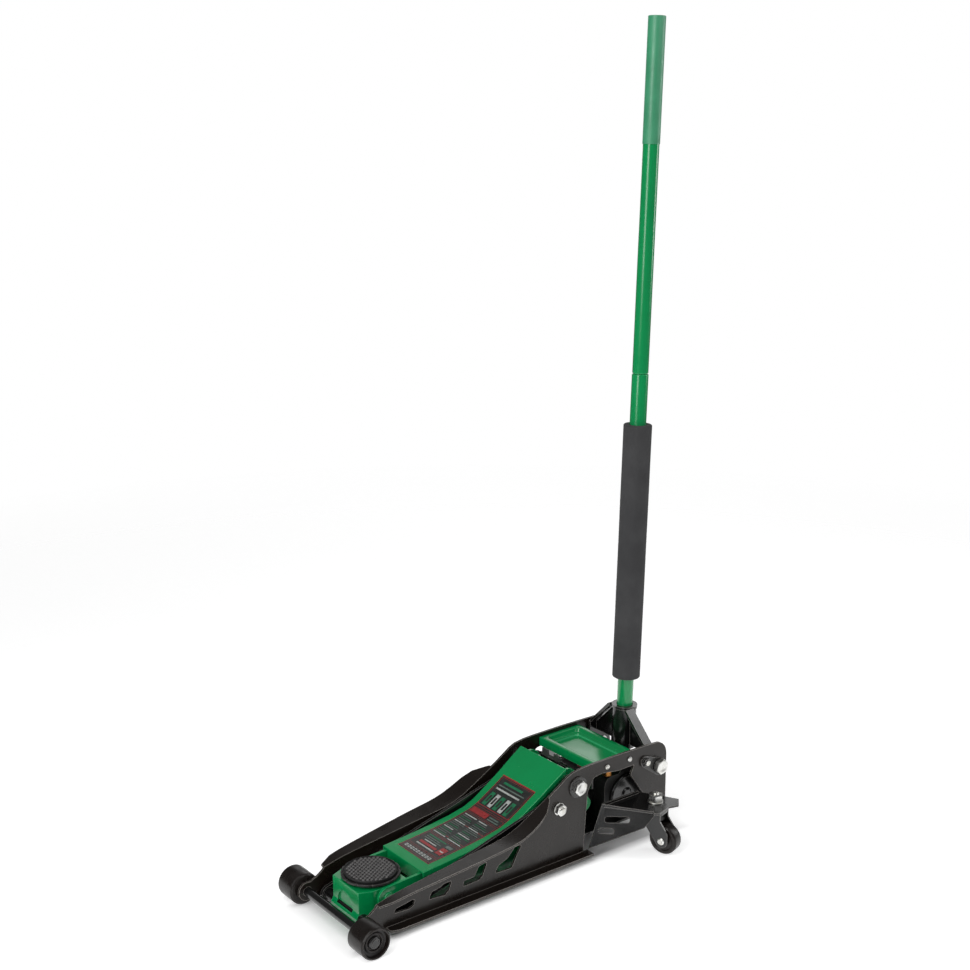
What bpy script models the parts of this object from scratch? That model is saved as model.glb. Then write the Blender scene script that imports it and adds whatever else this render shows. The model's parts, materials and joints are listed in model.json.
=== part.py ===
"""Low-profile double-pump trolley jack, built as separate parts at real size.

Front (saddle end) faces -Y, the handle stands at the +Y end, +Z is up and the floor is z = 0.
Lengths inside this file are in millimetres; make_object turns them into metres.
The "left" side is the operator's left when standing behind the handle: +X.
"""
import math

import bmesh
import bpy
from mathutils import Matrix, Vector

MM = 0.001
SHIFT_Y = 32.5          # moves the drawing so that the middle of its length is y = 0

# Pivot points, as (y, z).
FRONT_AXLE = (-378.0, 28.4)
ARM_PIVOT = (92.0, 150.0)
LINK_PIVOT = (48.0, 120.0)
SADDLE_PIVOT = (-300.0, 50.0)
SADDLE_LINK = (-344.0, 20.0)
CROSSHEAD = (134.0, 92.0)
YOKE_PIVOT = (294.0, 134.0)
CAM_BAR = (294.0, 108.0)
KINGPIN = (133.0, 241.0)          # as (x, y)
CASTER_TRAIL = 22.0
CASTER_SWIVEL = math.radians(18)    # how far the casters stand turned from straight out
CASTER_AXLE_Z = 28.0
RAM_Z = 88.0
HANDLE_FOOT = (0.0, 283.0, 263.0)  # a point on the handle's own axis
HANDLE_LEAN = math.radians(1.99)   # the handle leans backward by this much
VALVE_Z = 134.0
PLUNGER_X = 40.0

# Side plates.
PLATE_OUT = 85.0
PLATE_IN = 81.0
SIDES = {"left": 1, "right": -1}


def clear_scene():
    for obj in list(bpy.data.objects):
        bpy.data.objects.remove(obj, do_unlink=True)
    for mesh in list(bpy.data.meshes):
        bpy.data.meshes.remove(mesh)


MATERIALS = {}


def material(slot, colour, roughness, metallic):
    mat = bpy.data.materials.new(slot)
    mat.use_nodes = True
    shader = mat.node_tree.nodes["Principled BSDF"]
    shader.inputs["Base Color"].default_value = (*colour, 1.0)
    shader.inputs["Roughness"].default_value = roughness
    shader.inputs["Metallic"].default_value = metallic
    MATERIALS[slot] = mat


def make_materials():
    material("green_enamel", (0.0, 0.28, 0.12), 0.30, 0.0)
    material("black_enamel", (0.045, 0.042, 0.040), 0.35, 0.0)
    material("black_castings", (0.02, 0.02, 0.02), 0.5, 0.0)
    material("wheel_black", (0.03, 0.03, 0.03), 0.45, 0.0)
    material("zinc_bolts", (0.72, 0.72, 0.70), 0.3, 1.0)
    material("bright_steel", (0.6, 0.6, 0.6), 0.25, 1.0)
    material("rubber_pad", (0.025, 0.025, 0.025), 0.8, 0.0)
    material("foam_grip", (0.05, 0.05, 0.05), 0.95, 0.0)
    material("brass", (0.7, 0.42, 0.15), 0.3, 1.0)
    material("red_plastic", (0.5, 0.02, 0.02), 0.4, 0.0)


# ---------------------------------------------------------------- outlines

def arc(centre, radius, start, end, steps):
    """Points on an arc, from start to end degrees, both ends included."""
    points = []
    for i in range(steps + 1):
        angle = math.radians(start + (end - start) * i / steps)
        points.append((centre[0] + radius * math.cos(angle), centre[1] + radius * math.sin(angle)))
    return points


def filleted(corners, steps=3):
    """An outline from (a, b) or (a, b, radius) corners, each radius worked as an arc."""
    points = []
    count = len(corners)
    for i, corner in enumerate(corners):
        here = Vector(corner[:2])
        if len(corner) < 3:
            points.append(tuple(here))
            continue
        before = (Vector(corners[i - 1][:2]) - here).normalized()
        after = (Vector(corners[(i + 1) % count][:2]) - here).normalized()
        half = before.angle(after) / 2
        reach = corner[2] / math.tan(half)
        centre = here + (before + after).normalized() * corner[2] / math.sin(half)
        first = here + before * reach - centre
        last = here + after * reach - centre
        turn = first.angle_signed(last)
        for k in range(steps + 1):
            spoke = first.copy()
            spoke.rotate(Matrix.Rotation(-turn * k / steps, 2))
            points.append(tuple(centre + spoke))
    return points


def stadium(start, end, start_radius, end_radius, steps=8):
    """The outline of a strap with round ends about two points."""
    heading = math.degrees(math.atan2(end[1] - start[1], end[0] - start[0]))
    first = arc(start, start_radius, heading + 90, heading + 270, steps)
    last = arc(end, end_radius, heading - 90, heading + 90, steps)
    return first + last


def between(value, knots):
    """Straight-line interpolation in a list of (key, value) knots."""
    if value <= knots[0][0]:
        return knots[0][1]
    for (k0, v0), (k1, v1) in zip(knots, knots[1:]):
        if value <= k1:
            return v0 + (v1 - v0) * (value - k0) / (k1 - k0)
    return knots[-1][1]


# ---------------------------------------------------------------- solids

def make_object(name, points, faces, slot="black_enamel", smooth=False):
    mesh = bpy.data.meshes.new(name)
    placed = [(x * MM, (y + SHIFT_Y) * MM, z * MM) for x, y, z in points]
    mesh.from_pydata(placed, [], faces)
    shape = bmesh.new()
    shape.from_mesh(mesh)
    bmesh.ops.recalc_face_normals(shape, faces=shape.faces)
    shape.to_mesh(mesh)
    shape.free()
    obj = bpy.data.objects.new(name, mesh)
    bpy.context.scene.collection.objects.link(obj)
    mesh.materials.append(MATERIALS[slot])
    if smooth:
        round_shading(obj)
    return obj


def round_shading(obj):
    obj.data.shade_smooth()
    obj.data.set_sharp_from_angle(angle=math.radians(35))


AXES = {
    "x": lambda a, b, along: (along, a, b),      # outline in (y, z)
    "y": lambda a, b, along: (a, along, b),      # outline in (x, z)
    "z": lambda a, b, along: (a, b, along),      # outline in (x, y)
}


def prism(name, outline, axis, start, end, slot="black_enamel"):
    place = AXES[axis]
    count = len(outline)
    points = [place(a, b, start) for a, b in outline] + [place(a, b, end) for a, b in outline]
    faces = [list(range(count)), list(range(count, 2 * count))]
    for i in range(count):
        j = (i + 1) % count
        faces.append([i, j, count + j, count + i])
    return make_object(name, points, faces, slot)


def box(name, low, high, slot="black_enamel"):
    outline = [(low[0], low[1]), (high[0], low[1]), (high[0], high[1]), (low[0], high[1])]
    return prism(name, outline, "z", low[2], high[2], slot)


def lathe(name, profile, axis, centre, slot="black_enamel", segments=24, turned=None):
    """Turns a closed (radius, along) outline about an axis; radius 0 is a point on the axis."""
    place = AXES[axis]
    points = []
    rings = []
    for radius, along in profile:
        if radius <= 0:
            rings.append([len(points)])
            points.append(place(centre[0], centre[1], along))
            continue
        ring = []
        for i in range(segments):
            angle = 2 * math.pi * i / segments
            ring.append(len(points))
            points.append(
                place(centre[0] + radius * math.cos(angle), centre[1] + radius * math.sin(angle), along)
            )
        rings.append(ring)
    faces = []
    for i, ring in enumerate(rings):
        other = rings[(i + 1) % len(rings)]
        if len(ring) == 1 and len(other) == 1:
            continue
        for k in range(segments):
            m = (k + 1) % segments
            if len(ring) == 1:
                faces.append([ring[0], other[k], other[m]])
            elif len(other) == 1:
                faces.append([ring[k], ring[m], other[0]])
            else:
                faces.append([ring[k], ring[m], other[m], other[k]])
    if turned:
        points = [tuple(turned @ Vector(point)) for point in points]
    return make_object(name, points, faces, slot, smooth=True)


def rod(name, axis, centre, radius, start, end, slot="black_enamel", segments=24):
    profile = [(0, start), (radius, start), (radius, end), (0, end)]
    return lathe(name, profile, axis, centre, slot, segments)


def hexagon(centre, across_flats):
    return arc(centre, across_flats / math.sqrt(3), 0, 300, 5)


def combine(base, others, operation):
    """Joins, cuts or clips base with the others for good, and removes them."""
    for other in others:
        modifier = base.modifiers.new(operation.lower(), "BOOLEAN")
        modifier.operation = operation
        modifier.solver = "EXACT"
        modifier.object = other
        graph = bpy.context.evaluated_depsgraph_get()
        finished = bpy.data.meshes.new_from_object(base.evaluated_get(graph))
        base.modifiers.clear()
        base.data = finished
        finished.name = base.name
        bpy.data.objects.remove(other, do_unlink=True)
    return base


def join(base, *others):
    return combine(base, others, "UNION")


def cut(base, *others):
    return combine(base, others, "DIFFERENCE")


def mirror_x(points):
    return [(-x, y, z) for x, y, z in points]


def mirrored(obj, name):
    """A copy of the left-hand part for the right-hand side."""
    mesh = obj.data.copy()
    mesh.transform(Matrix.Scale(-1, 4, Vector((1, 0, 0))))
    mesh.flip_normals()
    copy = bpy.data.objects.new(name, mesh)
    bpy.context.scene.collection.objects.link(copy)
    return copy


def both_sides(builder, stem):
    left = builder(stem + "_left")
    mirrored(left, stem + "_right")


# ---------------------------------------------------------------- frame

PLATE_TOP = [
    (-343, 63.5), (-320, 69), (-300, 72.5), (-280, 75.3), (-250, 79), (-200, 85), (-150, 91),
    (-100, 97), (-80, 100), (-60, 105), (-40, 113.3), (-20, 123.8), (0, 134.8), (20, 146),
    (40, 157.7), (57, 168.5), (66, 174.5), (80, 180.5), (100, 183.5), (121, 184.6), (194, 185.5),
    (275, 184.5),
]
FLANGE_EDGE = [
    (-343, 92), (-336, 98), (-320, 101.5), (-300, 103.5), (-280, 105), (-250, 107.5), (-200, 111.5),
    (-150, 115), (-100, 117), (-60, 119), (-30, 118.5), (-8, 115), (8, 106), (18, 95), (24, 88),
]
WINDOWS = [
    [(-312, 37.5), (-306, 45), (-271, 50), (-267, 48), (-269.5, 39), (-278, 35.5)],
    [(-239.5, 39), (-232, 51), (-213, 54), (-207, 57.5), (-190, 58), (-196.5, 42), (-205, 35.5)],
    [(-167, 38.5), (-164.5, 48.5), (-143, 49), (-132, 65.5), (-113.5, 69), (-123.5, 46), (-132, 39.5)],
    [(-98, 40.5), (-88, 54), (-68, 61), (-52.5, 77), (-36.5, 77), (-48, 60), (-60, 38.5)],
]
TRAY_SCREWS = [(162.4, 169.0), (218.0, 169.0)]
KEEPER_SCREW = (256.0, 154.0)


def web_outline():
    nose = arc(FRONT_AXLE, 17, 262, 70, 10)
    top = [(-358, 50.5), (-347, 58)] + PLATE_TOP
    back = arc((285, 156), 28, 80, 0, 6)
    leg = filleted([
        (313, 140), (313, 56), (274, 56), (262, 84, 12), (248, 99, 6), (222, 137, 5), (231, 154.5, 2),
        (190, 153.5), (153, 159.5, 8), (131, 157, 8), (116, 133, 14), (107, 17), (107, 13), (-330, 13),
    ])
    return nose + top + back + leg[1:]


def top_flange(name):
    """The outward lip that follows the plate's upper edge, widening toward the pivot."""
    stations = [station for station in PLATE_TOP if station[0] <= 20] + [(24, 148.4)]
    points = []
    faces = []
    for y, z in stations:
        edge = between(y, FLANGE_EDGE)
        rise = 0.08 * (edge - PLATE_OUT)
        points += [
            (PLATE_OUT - 2, y, z), (edge, y, z + rise), (edge, y, z + rise - 3.5), (PLATE_OUT - 2, y, z - 4),
        ]
    for i in range(len(stations) - 1):
        a = 4 * i
        for k in range(4):
            m = (k + 1) % 4
            faces.append([a + k, a + m, a + 4 + m, a + 4 + k])
    last = 4 * (len(stations) - 1)
    faces.append([0, 1, 2, 3])
    faces.append([last, last + 1, last + 2, last + 3])
    return make_object(name, points, faces)


def side_plate(name):
    plate = prism(name, web_outline(), "x", PLATE_IN, PLATE_OUT)
    foot = filleted([(83, -326), (98, -326, 3), (104, -312, 8), (104, 118, 2), (83, 118)])
    join(plate, top_flange("flange"), prism("foot", foot, "z", 13, 17))
    cutters = [prism("window", filleted([(*p, 2.5) for p in w], 2), "x", 78, 88) for w in WINDOWS]
    holes = [(FRONT_AXLE, 8.3), (ARM_PIVOT, 12.3), (LINK_PIVOT, 7.3), (YOKE_PIVOT, 8.3), (KEEPER_SCREW, 3.3)]
    holes += [(screw, 2.8) for screw in TRAY_SCREWS]
    for centre, radius in holes:
        cutters.append(rod("hole", "x", centre, radius, 78, 88, segments=16))
    return cut(plate, *cutters)


WING_UNDER = 91.0
WING_TOP = 95.0
SKIRT_CORNER = Vector((87.5, 148.8, 95.8))
SKIRT_ALONG = Vector((0.814, 0.581, -0.019)).normalized()
SKIRT_NORMAL = Vector((-0.559, 0.773, -0.301)).normalized()
SKIRT_DOWN = SKIRT_NORMAL.cross(SKIRT_ALONG).normalized()


def skirt_prism(name, outline, front, back):
    """A prism whose (along, down) outline lies in the plane of the wing's skirt."""
    points = []
    for depth in (front, back):
        for along, down in outline:
            points.append(tuple(
                SKIRT_CORNER + SKIRT_ALONG * along + SKIRT_DOWN * down + SKIRT_NORMAL * depth
            ))
    count = len(outline)
    faces = [list(range(count)), list(range(count, 2 * count))]
    for i in range(count):
        j = (i + 1) % count
        faces.append([i, j, count + j, count + i])
    return make_object(name, points, faces)


def rear_wing(name):
    floor = filleted([
        (85.4, 151), (92, 151), (164, 203), (173, 213, 7), (163, 246, 8), (169, 266, 4), (151, 283, 2),
        (85.4, 247),
    ])
    wing = prism(name, floor, "z", WING_UNDER, WING_TOP)
    rim = box("rim", (85.4, 151, WING_TOP - 2), (88.4, 240, WING_TOP + 5))
    skirt = skirt_prism("skirt", [(0, -4), (97, -4), (98, 4), (82, 28), (-18, 81)], 0, 3.5)
    join(wing, rim, skirt)
    upper = skirt_prism("upper", filleted([(8, 18, 4), (54, 12, 4), (54, 23, 4), (8, 29, 4)], 3), -4, 8)
    lower = skirt_prism("lower", filleted([(-1, 40, 4), (27, 37, 4), (27, 47, 4), (-3, 50, 4)], 3), -4, 8)
    hole = rod("hole", "z", KINGPIN, 6.4, 80, 100, segments=16)
    return cut(wing, upper, lower, hole)


def make_frame():
    both_sides(side_plate, "side_plate")
    both_sides(rear_wing, "rear_wing")
    cap = [(8, 126.6), (12.5, 126.6), (12.5, 129.5), (10, 131.8), (0, 132.6)]
    other_cap = [(radius, -along) for radius, along in reversed(cap)]
    lathe("front_axle", other_cap + cap, "x", FRONT_AXLE, "black_castings", 20)
    tie = box("cross_tie", (-80.6, 126, 148), (80.6, 134, 153))
    join(tie, box("web", (-80.6, 130, 132), (80.6, 134, 150)))
    cradle = box("unit_cradle", (-80.6, 110, 44), (80.6, 304, 48))
    for side in SIDES.values():
        inner, outer = sorted((side * 77.4, side * 80.6))
        join(cradle, box("tab", (inner, 262, 46), (outer, 304, 88)))
    anchor = box("spring_anchor", (-60, 126, 153.3), (-8, 134, 155.3), "zinc_bolts")
    join(anchor, box("far_ear", (-58, 126, 154), (-40, 129, 168)), box("near_ear", (-24, 126, 154), (-10, 129, 166)))
    rod("brass_plug", "z", (52, 192), 6.5, 133.3, 142, "brass", 6)
    cap = [(0, 133.3), (7, 133.3), (7, 146), (5, 148), (0, 148)]
    lathe("relief_cap", cap, "z", (-30, 203), "red_plastic", 16)


def front_wheel(name):
    y, z = FRONT_AXLE
    profile = [
        (8.4, 86.4), (13, 86.4), (13, 89.4), (25.5, 89.4), (28.4, 92.5), (28.4, 132), (25.5, 135.4),
        (19, 134.2), (17, 126.2), (8.4, 126.2),
    ]
    return lathe(name, profile, "x", (y, z), "wheel_black", 28)


def caster_bolt(name):
    x, y = KINGPIN
    profile = [
        (0, 66), (9.5, 66), (9.5, 71), (6, 71), (6, 95.3), (14.5, 95.3), (14.5, 97.6), (6, 97.6),
        (6, 114), (0, 114),
    ]
    bolt = lathe(name, profile, "z", (x, y), "zinc_bolts", 16)
    return join(bolt, prism("nut", hexagon((x, y), 22), "z", 97.4, 108))


def caster_race(name):
    profile = [
        (6.4, 80.3), (19, 80.3), (21, 82), (21, 84.5), (17.5, 86), (20, 88), (20, 90.7), (6.4, 90.7),
    ]
    return lathe(name, profile, "z", KINGPIN, "bright_steel", 20)


def swivelled(obj):
    """Turns a piece that was drawn trailing straight out to where the caster stands."""
    centre = Vector((KINGPIN[0] * MM, (KINGPIN[1] + SHIFT_Y) * MM, 0))
    turn = Matrix.Rotation(CASTER_SWIVEL, 4, "Z")
    obj.data.transform(Matrix.Translation(centre) @ turn @ Matrix.Translation(-centre))
    return obj


def caster_fork(name):
    x, y = KINGPIN
    hub_x = x + CASTER_TRAIL
    top = filleted([(x - 21, y - 17, 8), (x + 20, y - 17, 8), (x + 20, y + 17, 8), (x - 21, y + 17, 8)])
    fork = prism(name, top, "z", 75.5, 79.8)
    leg = [(x - 20, 79), (x - 18, 60)]
    leg += arc((hub_x, CASTER_AXLE_Z), 13, 200, 360, 8)
    leg += [(hub_x + 13, 44), (x + 19, 66), (x + 19, 79)]
    join(fork, prism("near", leg, "y", y - 17, y - 14), prism("far", leg, "y", y + 14, y + 17))
    pin_hole = rod("pin", "z", (x, y), 6.4, 70, 85, segments=16)
    axle_hole = rod("axle", "y", (hub_x, CASTER_AXLE_Z), 4.4, y - 20, y + 20, segments=12)
    return swivelled(cut(fork, pin_hole, axle_hole))


def caster_wheel(name):
    x, y = KINGPIN
    profile = [
        (4.4, y - 13.6), (9, y - 13.6), (10, y - 10.5), (25.5, y - 12), (28, y - 9.5),
        (28, y + 9.5), (25.5, y + 12), (10, y + 10.5), (9, y + 13.6), (4.4, y + 13.6),
    ]
    return swivelled(lathe(name, profile, "y", (x + CASTER_TRAIL, CASTER_AXLE_Z), "wheel_black", 24))


def caster_axle(name):
    x, y = KINGPIN
    profile = [
        (0, y - 19.6), (7, y - 19), (7, y - 17.3), (4, y - 17.3), (4, y + 17.3), (7, y + 17.3),
        (7, y + 19), (0, y + 19.6),
    ]
    return swivelled(lathe(name, profile, "y", (x + CASTER_TRAIL, CASTER_AXLE_Z), "zinc_bolts", 16))


def make_running_gear():
    both_sides(front_wheel, "front_wheel")
    both_sides(caster_bolt, "caster_bolt")
    both_sides(caster_race, "caster_race")
    both_sides(caster_fork, "caster_fork")
    both_sides(caster_wheel, "caster_wheel")
    both_sides(caster_axle, "caster_axle")


# ---------------------------------------------------------------- lift arm

PANEL_TOP = [
    (-234, 77.5), (-180, 82), (-134, 86.5), (-90, 92.5), (-56, 99.5), (-35, 108), (-15, 119.5),
    (5, 131.5), (25, 144), (50, 161), (70, 174), (81, 181),
]
PANEL_HALF = [(-234, 62), (-60, 62), (25, 64), (81, 66)]
PANEL_THICK = 4.0
CHEEK_OUT = 55.0
CHEEK_IN = 50.0


def cheek_outline():
    """The side of the lift arm: saddle eye in front, pivot eye and ram lever behind."""
    eye = arc(SADDLE_PIVOT, 20.5, 260, 105, 8)
    top = [(-240, 72.8)] + [(y, z - PANEL_THICK - 0.4) for y, z in PANEL_TOP[1:-1]]
    pivot = arc(ARM_PIVOT, 24, 110, -18, 8)
    lever = arc(CROSSHEAD, 16, 10, -120, 7)
    bottom = [(62, 48), (24, 18, 8), (-60, 16, 3), (-70, 28, 3), (-250, 28)]
    return eye + top + pivot + lever + filleted(bottom, 3)


def lift_arm():
    outline = cheek_outline()
    arm = prism("lift_arm", outline, "x", -CHEEK_OUT, CHEEK_OUT, "green_enamel")
    core = prism("core", [(-400, -50), (200, -50), (200, 300), (-400, 300)], "x", -CHEEK_IN, CHEEK_IN)
    cut(arm, core)
    under = prism("under", [
        (-252, 29), (-70, 29), (-59, 17), (16, 17), (19, 21), (-57, 21), (-68, 33), (-252, 33),
    ], "x", -CHEEK_IN - 1, CHEEK_IN + 1)
    tube = rod("tube", "x", ARM_PIVOT, 19, -CHEEK_IN - 1, CHEEK_IN + 1)
    join(arm, under, tube)
    windows = [
        [(-25, -232), (25, -232), (0, -196)],
        [(-25, -188), (8, -176), (25, -160), (-8, -172)],
        [(-14, -140), (14, -128), (14, -104), (-14, -116)],
    ]
    cutters = [prism("window", window, "z", 20, 40) for window in windows]
    cutters.append(rod("pivot", "x", ARM_PIVOT, 12.3, -60, 60))
    cutters.append(rod("eye", "x", SADDLE_PIVOT, 10.3, -60, 60))
    cutters.append(rod("lever", "x", CROSSHEAD, 8.3, -60, 60, segments=16))
    return cut(arm, *cutters)


def arm_top_panel():
    """The cover plate of the arm, with turned-down sides and a turned-down front lip."""
    points = []
    faces = []
    for y, z in PANEL_TOP:
        half = between(y, PANEL_HALF)
        inside = half - 3
        under = z - PANEL_THICK
        skirt = z - PANEL_THICK - 6
        points += [
            (-half, y, z), (half, y, z), (half, y, skirt), (inside, y, skirt), (inside, y, under),
            (-inside, y, under), (-inside, y, skirt), (-half, y, skirt),
        ]
    for i in range(len(PANEL_TOP) - 1):
        a = 8 * i
        for k in range(8):
            m = (k + 1) % 8
            faces.append([a + k, a + m, a + 8 + m, a + 8 + k])
    last = 8 * (len(PANEL_TOP) - 1)
    faces.append(list(range(8)))
    faces.append([last + k for k in range(8)])
    panel = make_object("arm_top_panel", points, faces, "green_enamel")
    return join(panel, box("lip", (-49.4, -234, 50), (49.4, -230, 75)))


def saddle_bracket():
    side = filleted([
        (-351, 68.3, 1.5), (-257, 68.3, 1), (-257, 61), (-274, 52, 8), (-282, 34, 8), (-318, 26, 10),
        (-334, 9), (-344, 8), (-354, 13), (-356, 21), (-351, 30, 6),
    ])
    bracket = prism("saddle_bracket", side, "x", -60, 60, "green_enamel")
    plan = filleted([
        (-40, -360), (40, -360), (40, -351, 4), (49.3, -328, 10), (49.3, -250), (-49.3, -250),
        (-49.3, -328, 10), (-40, -351, 4),
    ])
    combine(bracket, [prism("plan", plan, "z", 0, 80)], "INTERSECT")
    hollow = prism("hollow", [(-344, -10), (-344, 58), (-266, 58), (-290, -10)], "x", -41, 41)
    cut(bracket, hollow)
    join(bracket, rod("socket", "z", (0, -300), 20, 44, 60))
    arch = [(-26, 24), (22, 24)] + arc((-2, 30), 24, 0, 180, 6)
    return cut(
        bracket,
        prism("arch", arch, "y", -370, -348),
        rod("link", "x", SADDLE_LINK, 9.3, -80, 80),
        rod("eye", "x", SADDLE_PIVOT, 10.3, -80, -30), rod("eye", "x", SADDLE_PIVOT, 10.3, 30, 80),
        rod("stem", "z", (0, -300), 12.4, 30, 80),
    )


def saddle_pins():
    """Two stub pins would do; one long pin runs below the saddle's stem."""
    y, z = SADDLE_LINK
    pin = [(0, -77), (11, -77), (11, -73.4), (9, -73.4), (9, 73.4), (11, 73.4), (11, 77), (0, 77)]
    lathe("link_pin", pin, "x", (y, z), "black_castings", 20)
    for name, side in (("saddle_pin_left", 1), ("saddle_pin_right", -1)):
        start, end = sorted((side * 42.5, side * 57.5))
        rod(name, "x", SADDLE_PIVOT, 10, start, end, "zinc_bolts", 28)


def saddle_and_pad():
    dish = [
        (0, 46), (12, 46), (12, 69.5), (47, 69.5), (51.5, 73), (51.5, 77), (46.5, 77), (46.5, 74.5),
        (0, 74.5),
    ]
    lathe("saddle", dish, "z", (0, -300), "black_castings", 36)
    pad = [(0, 74.8), (45.8, 74.8), (45.8, 80.6), (44.6, 82), (0, 82)]
    lathe("saddle_pad", pad, "z", (0, -300), "rubber_pad", 36)


def level_link(name):
    outline = stadium(LINK_PIVOT, SADDLE_LINK, 17, 13)
    link = prism(name, outline, "x", 67, 73)
    return cut(
        link,
        rod("rear", "x", LINK_PIVOT, 7.3, 60, 80, segments=16),
        rod("front", "x", SADDLE_LINK, 9.3, 60, 80, segments=16),
    )


def link_bolt(name):
    profile = [
        (0, 62.5), (11, 62.5), (11, 66.7), (7, 66.7), (7, 85.3), (10.5, 85.3), (10.5, 87), (7, 87),
        (7, 98.5), (0, 98.5),
    ]
    bolt = lathe(name, profile, "x", LINK_PIVOT, "zinc_bolts", 16)
    return join(bolt, prism("nut", hexagon(LINK_PIVOT, 21), "x", 86.8, 95))


def arm_bolt(name):
    washer = lathe(name, [(0, 85.3), (20, 85.3), (20, 88.3), (0, 88.3)], "x", ARM_PIVOT, "zinc_bolts", 24)
    head = prism("head", hexagon(ARM_PIVOT, 25), "x", 88, 97)
    return join(washer, head)


def make_arm():
    lift_arm()
    arm_top_panel()
    saddle_bracket()
    saddle_pins()
    saddle_and_pad()
    both_sides(level_link, "level_link")
    both_sides(link_bolt, "link_bolt")
    rod("arm_shaft", "x", ARM_PIVOT, 12, -84.9, 84.9, "bright_steel")
    both_sides(arm_bolt, "arm_bolt")


# ---------------------------------------------------------------- hydraulic unit

def make_hydraulics():
    y, z = CROSSHEAD
    roller = [(0, -55), (8, -55), (8, -22), (10, -22), (10, 22), (8, 22), (8, 55), (0, 55)]
    lathe("crosshead_pin", roller, "x", (y, z), "bright_steel", 16)
    piston = rod("ram_piston", "y", (0, RAM_Z), 13, 152, 254, "bright_steel")
    join(piston, box("pusher", (-20, 146, RAM_Z - 22), (20, 154, RAM_Z + 22)))
    cylinder = [
        (13.4, 158), (18, 158), (22.5, 161), (22.5, 262), (0, 262), (0, 257), (13.4, 257),
    ]
    lathe("ram_cylinder", cylinder, "y", (0, RAM_Z), "black_castings")
    tank = [
        (22.9, 160), (31, 160), (34, 163), (34, 177.6), (22.9, 177.6),
    ]
    lathe("reservoir_tank", tank, "y", (0, RAM_Z), "black_enamel", 28)
    side = filleted([
        (178, 48.4), (252, 48.4), (252, 121), (268, 125), (268, 149.5), (224, 149.5, 3), (215, 133),
        (178, 133, 18),
    ])
    block = prism("pump_block", side, "x", -62, 62, "black_castings")
    cut(block, rod("bore", "y", (0, RAM_Z), 22.9, 170, 260))
    for side in SIDES.values():
        cut(block, rod("pump", "y", (side * PLUNGER_X, CAM_BAR[1]), 7.3, 214, 260, segments=16))
    for name, side in SIDES.items():
        plunger = [(0, 236), (7, 236), (7, 282), (10.5, 282), (10.5, 285.2), (0, 285.2)]
        lathe("pump_plunger_" + name, plunger, "y", (side * PLUNGER_X, CAM_BAR[1]), "bright_steel", 16)
    stem = [(0, 268.4), (8, 268.4), (8, 271), (6, 271), (6, 277), (0, 277)]
    valve = lathe("release_valve", stem, "y", (0, VALVE_Z), "bright_steel", 16)
    cut(valve, box("slot", (-1.6, 274, VALVE_Z - 9), (1.6, 280, VALVE_Z + 9)))


# ---------------------------------------------------------------- handle

def handle_frame():
    """Lays a drawing made about the z axis onto the leaning handle; its z = 0 is HANDLE_FOOT."""
    return Matrix.Translation(HANDLE_FOOT) @ Matrix.Rotation(-HANDLE_LEAN, 4, "X")


def on_handle(name, profile, slot, segments=24):
    return lathe(name, profile, "z", (0, 0), slot, segments, turned=handle_frame())


def handle_yoke():
    cheek = filleted([
        (261, 180), (281, 180), (309, 156, 14), (313, 128, 16), (304, 98, 10), (284, 97, 10), (270, 120, 8),
        (261, 150, 10),
    ])
    yoke = prism("handle_yoke", cheek, "x", 73, 78)
    join(yoke, prism("cheek", cheek, "x", -78, -73))
    web = [(22, 234), (25.5, 234), (78, 181), (78, 176), (73, 176), (73, 179), (20, 231)]
    for side in SIDES.values():
        outline = [(side * a, b) for a, b in web]
        join(yoke, prism("web", outline, "y", 262, 281))
    back = [(-74, 176), (-22, 228), (22, 228), (74, 176), (74, 160), (-74, 160)]
    join(yoke, prism("back", back, "y", 276, 280.5))
    join(yoke, rod("cam", "x", CAM_BAR, 7, -74, 74))
    tube = on_handle("tube", [(0, -112), (23, -112), (23, -33), (24.5, -33), (24.5, -27), (0, -27)], "black_enamel")
    join(yoke, tube)
    bore = on_handle("bore", [(0, -120), (16, -120), (16, -20), (0, -20)], "black_enamel")
    return cut(yoke, bore, rod("pivot", "x", YOKE_PIVOT, 8.3, -90, 90, segments=16))


def yoke_bolt(name):
    profile = [(0, 71), (8, 71), (8, 88.6), (14, 88.6), (14, 89.6), (0, 89.6)]
    bolt = lathe(name, profile, "x", YOKE_PIVOT, "zinc_bolts", 16)
    return join(bolt, prism("head", hexagon(YOKE_PIVOT, 24), "x", 89.4, 99))


def pivot_keeper(name):
    keeper = prism(name, stadium(KEEPER_SCREW, YOKE_PIVOT, 11, 17, 6), "x", 85.3, 88.3)
    cut(keeper, rod("hole", "x", YOKE_PIVOT, 8.3, 80, 95, segments=16))
    screw = prism("screw", hexagon(KEEPER_SCREW, 12), "x", 87.8, 93)
    shank = rod("shank", "x", KEEPER_SCREW, 3, 80, 87, segments=12)
    return join(keeper, screw, shank)


def make_handle():
    handle_yoke()
    both_sides(yoke_bolt, "yoke_bolt")
    both_sides(pivot_keeper, "pivot_keeper")
    lower = [(13, -96), (15.2, -96), (15.2, 606), (14.4, 608), (13, 608)]
    on_handle("handle_lower", lower, "green_enamel")
    foam = [(15.6, 28), (24, 28), (26.3, 31), (26.3, 512), (24, 515), (15.6, 515)]
    on_handle("foam_grip", foam, "foam_grip")
    upper = [(11, 528), (12.7, 528), (12.7, 608.4), (14.7, 608.4), (14.7, 1228), (11, 1228)]
    on_handle("handle_upper", upper, "green_enamel")
    sleeve = [(15, 1015), (15.6, 1015), (15.6, 1231), (13.5, 1232), (0, 1232), (0, 1228.4), (15, 1228.4)]
    on_handle("top_grip", sleeve, "green_enamel")


# ---------------------------------------------------------------- tool tray

TRAY_HALF = 80.3


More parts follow.
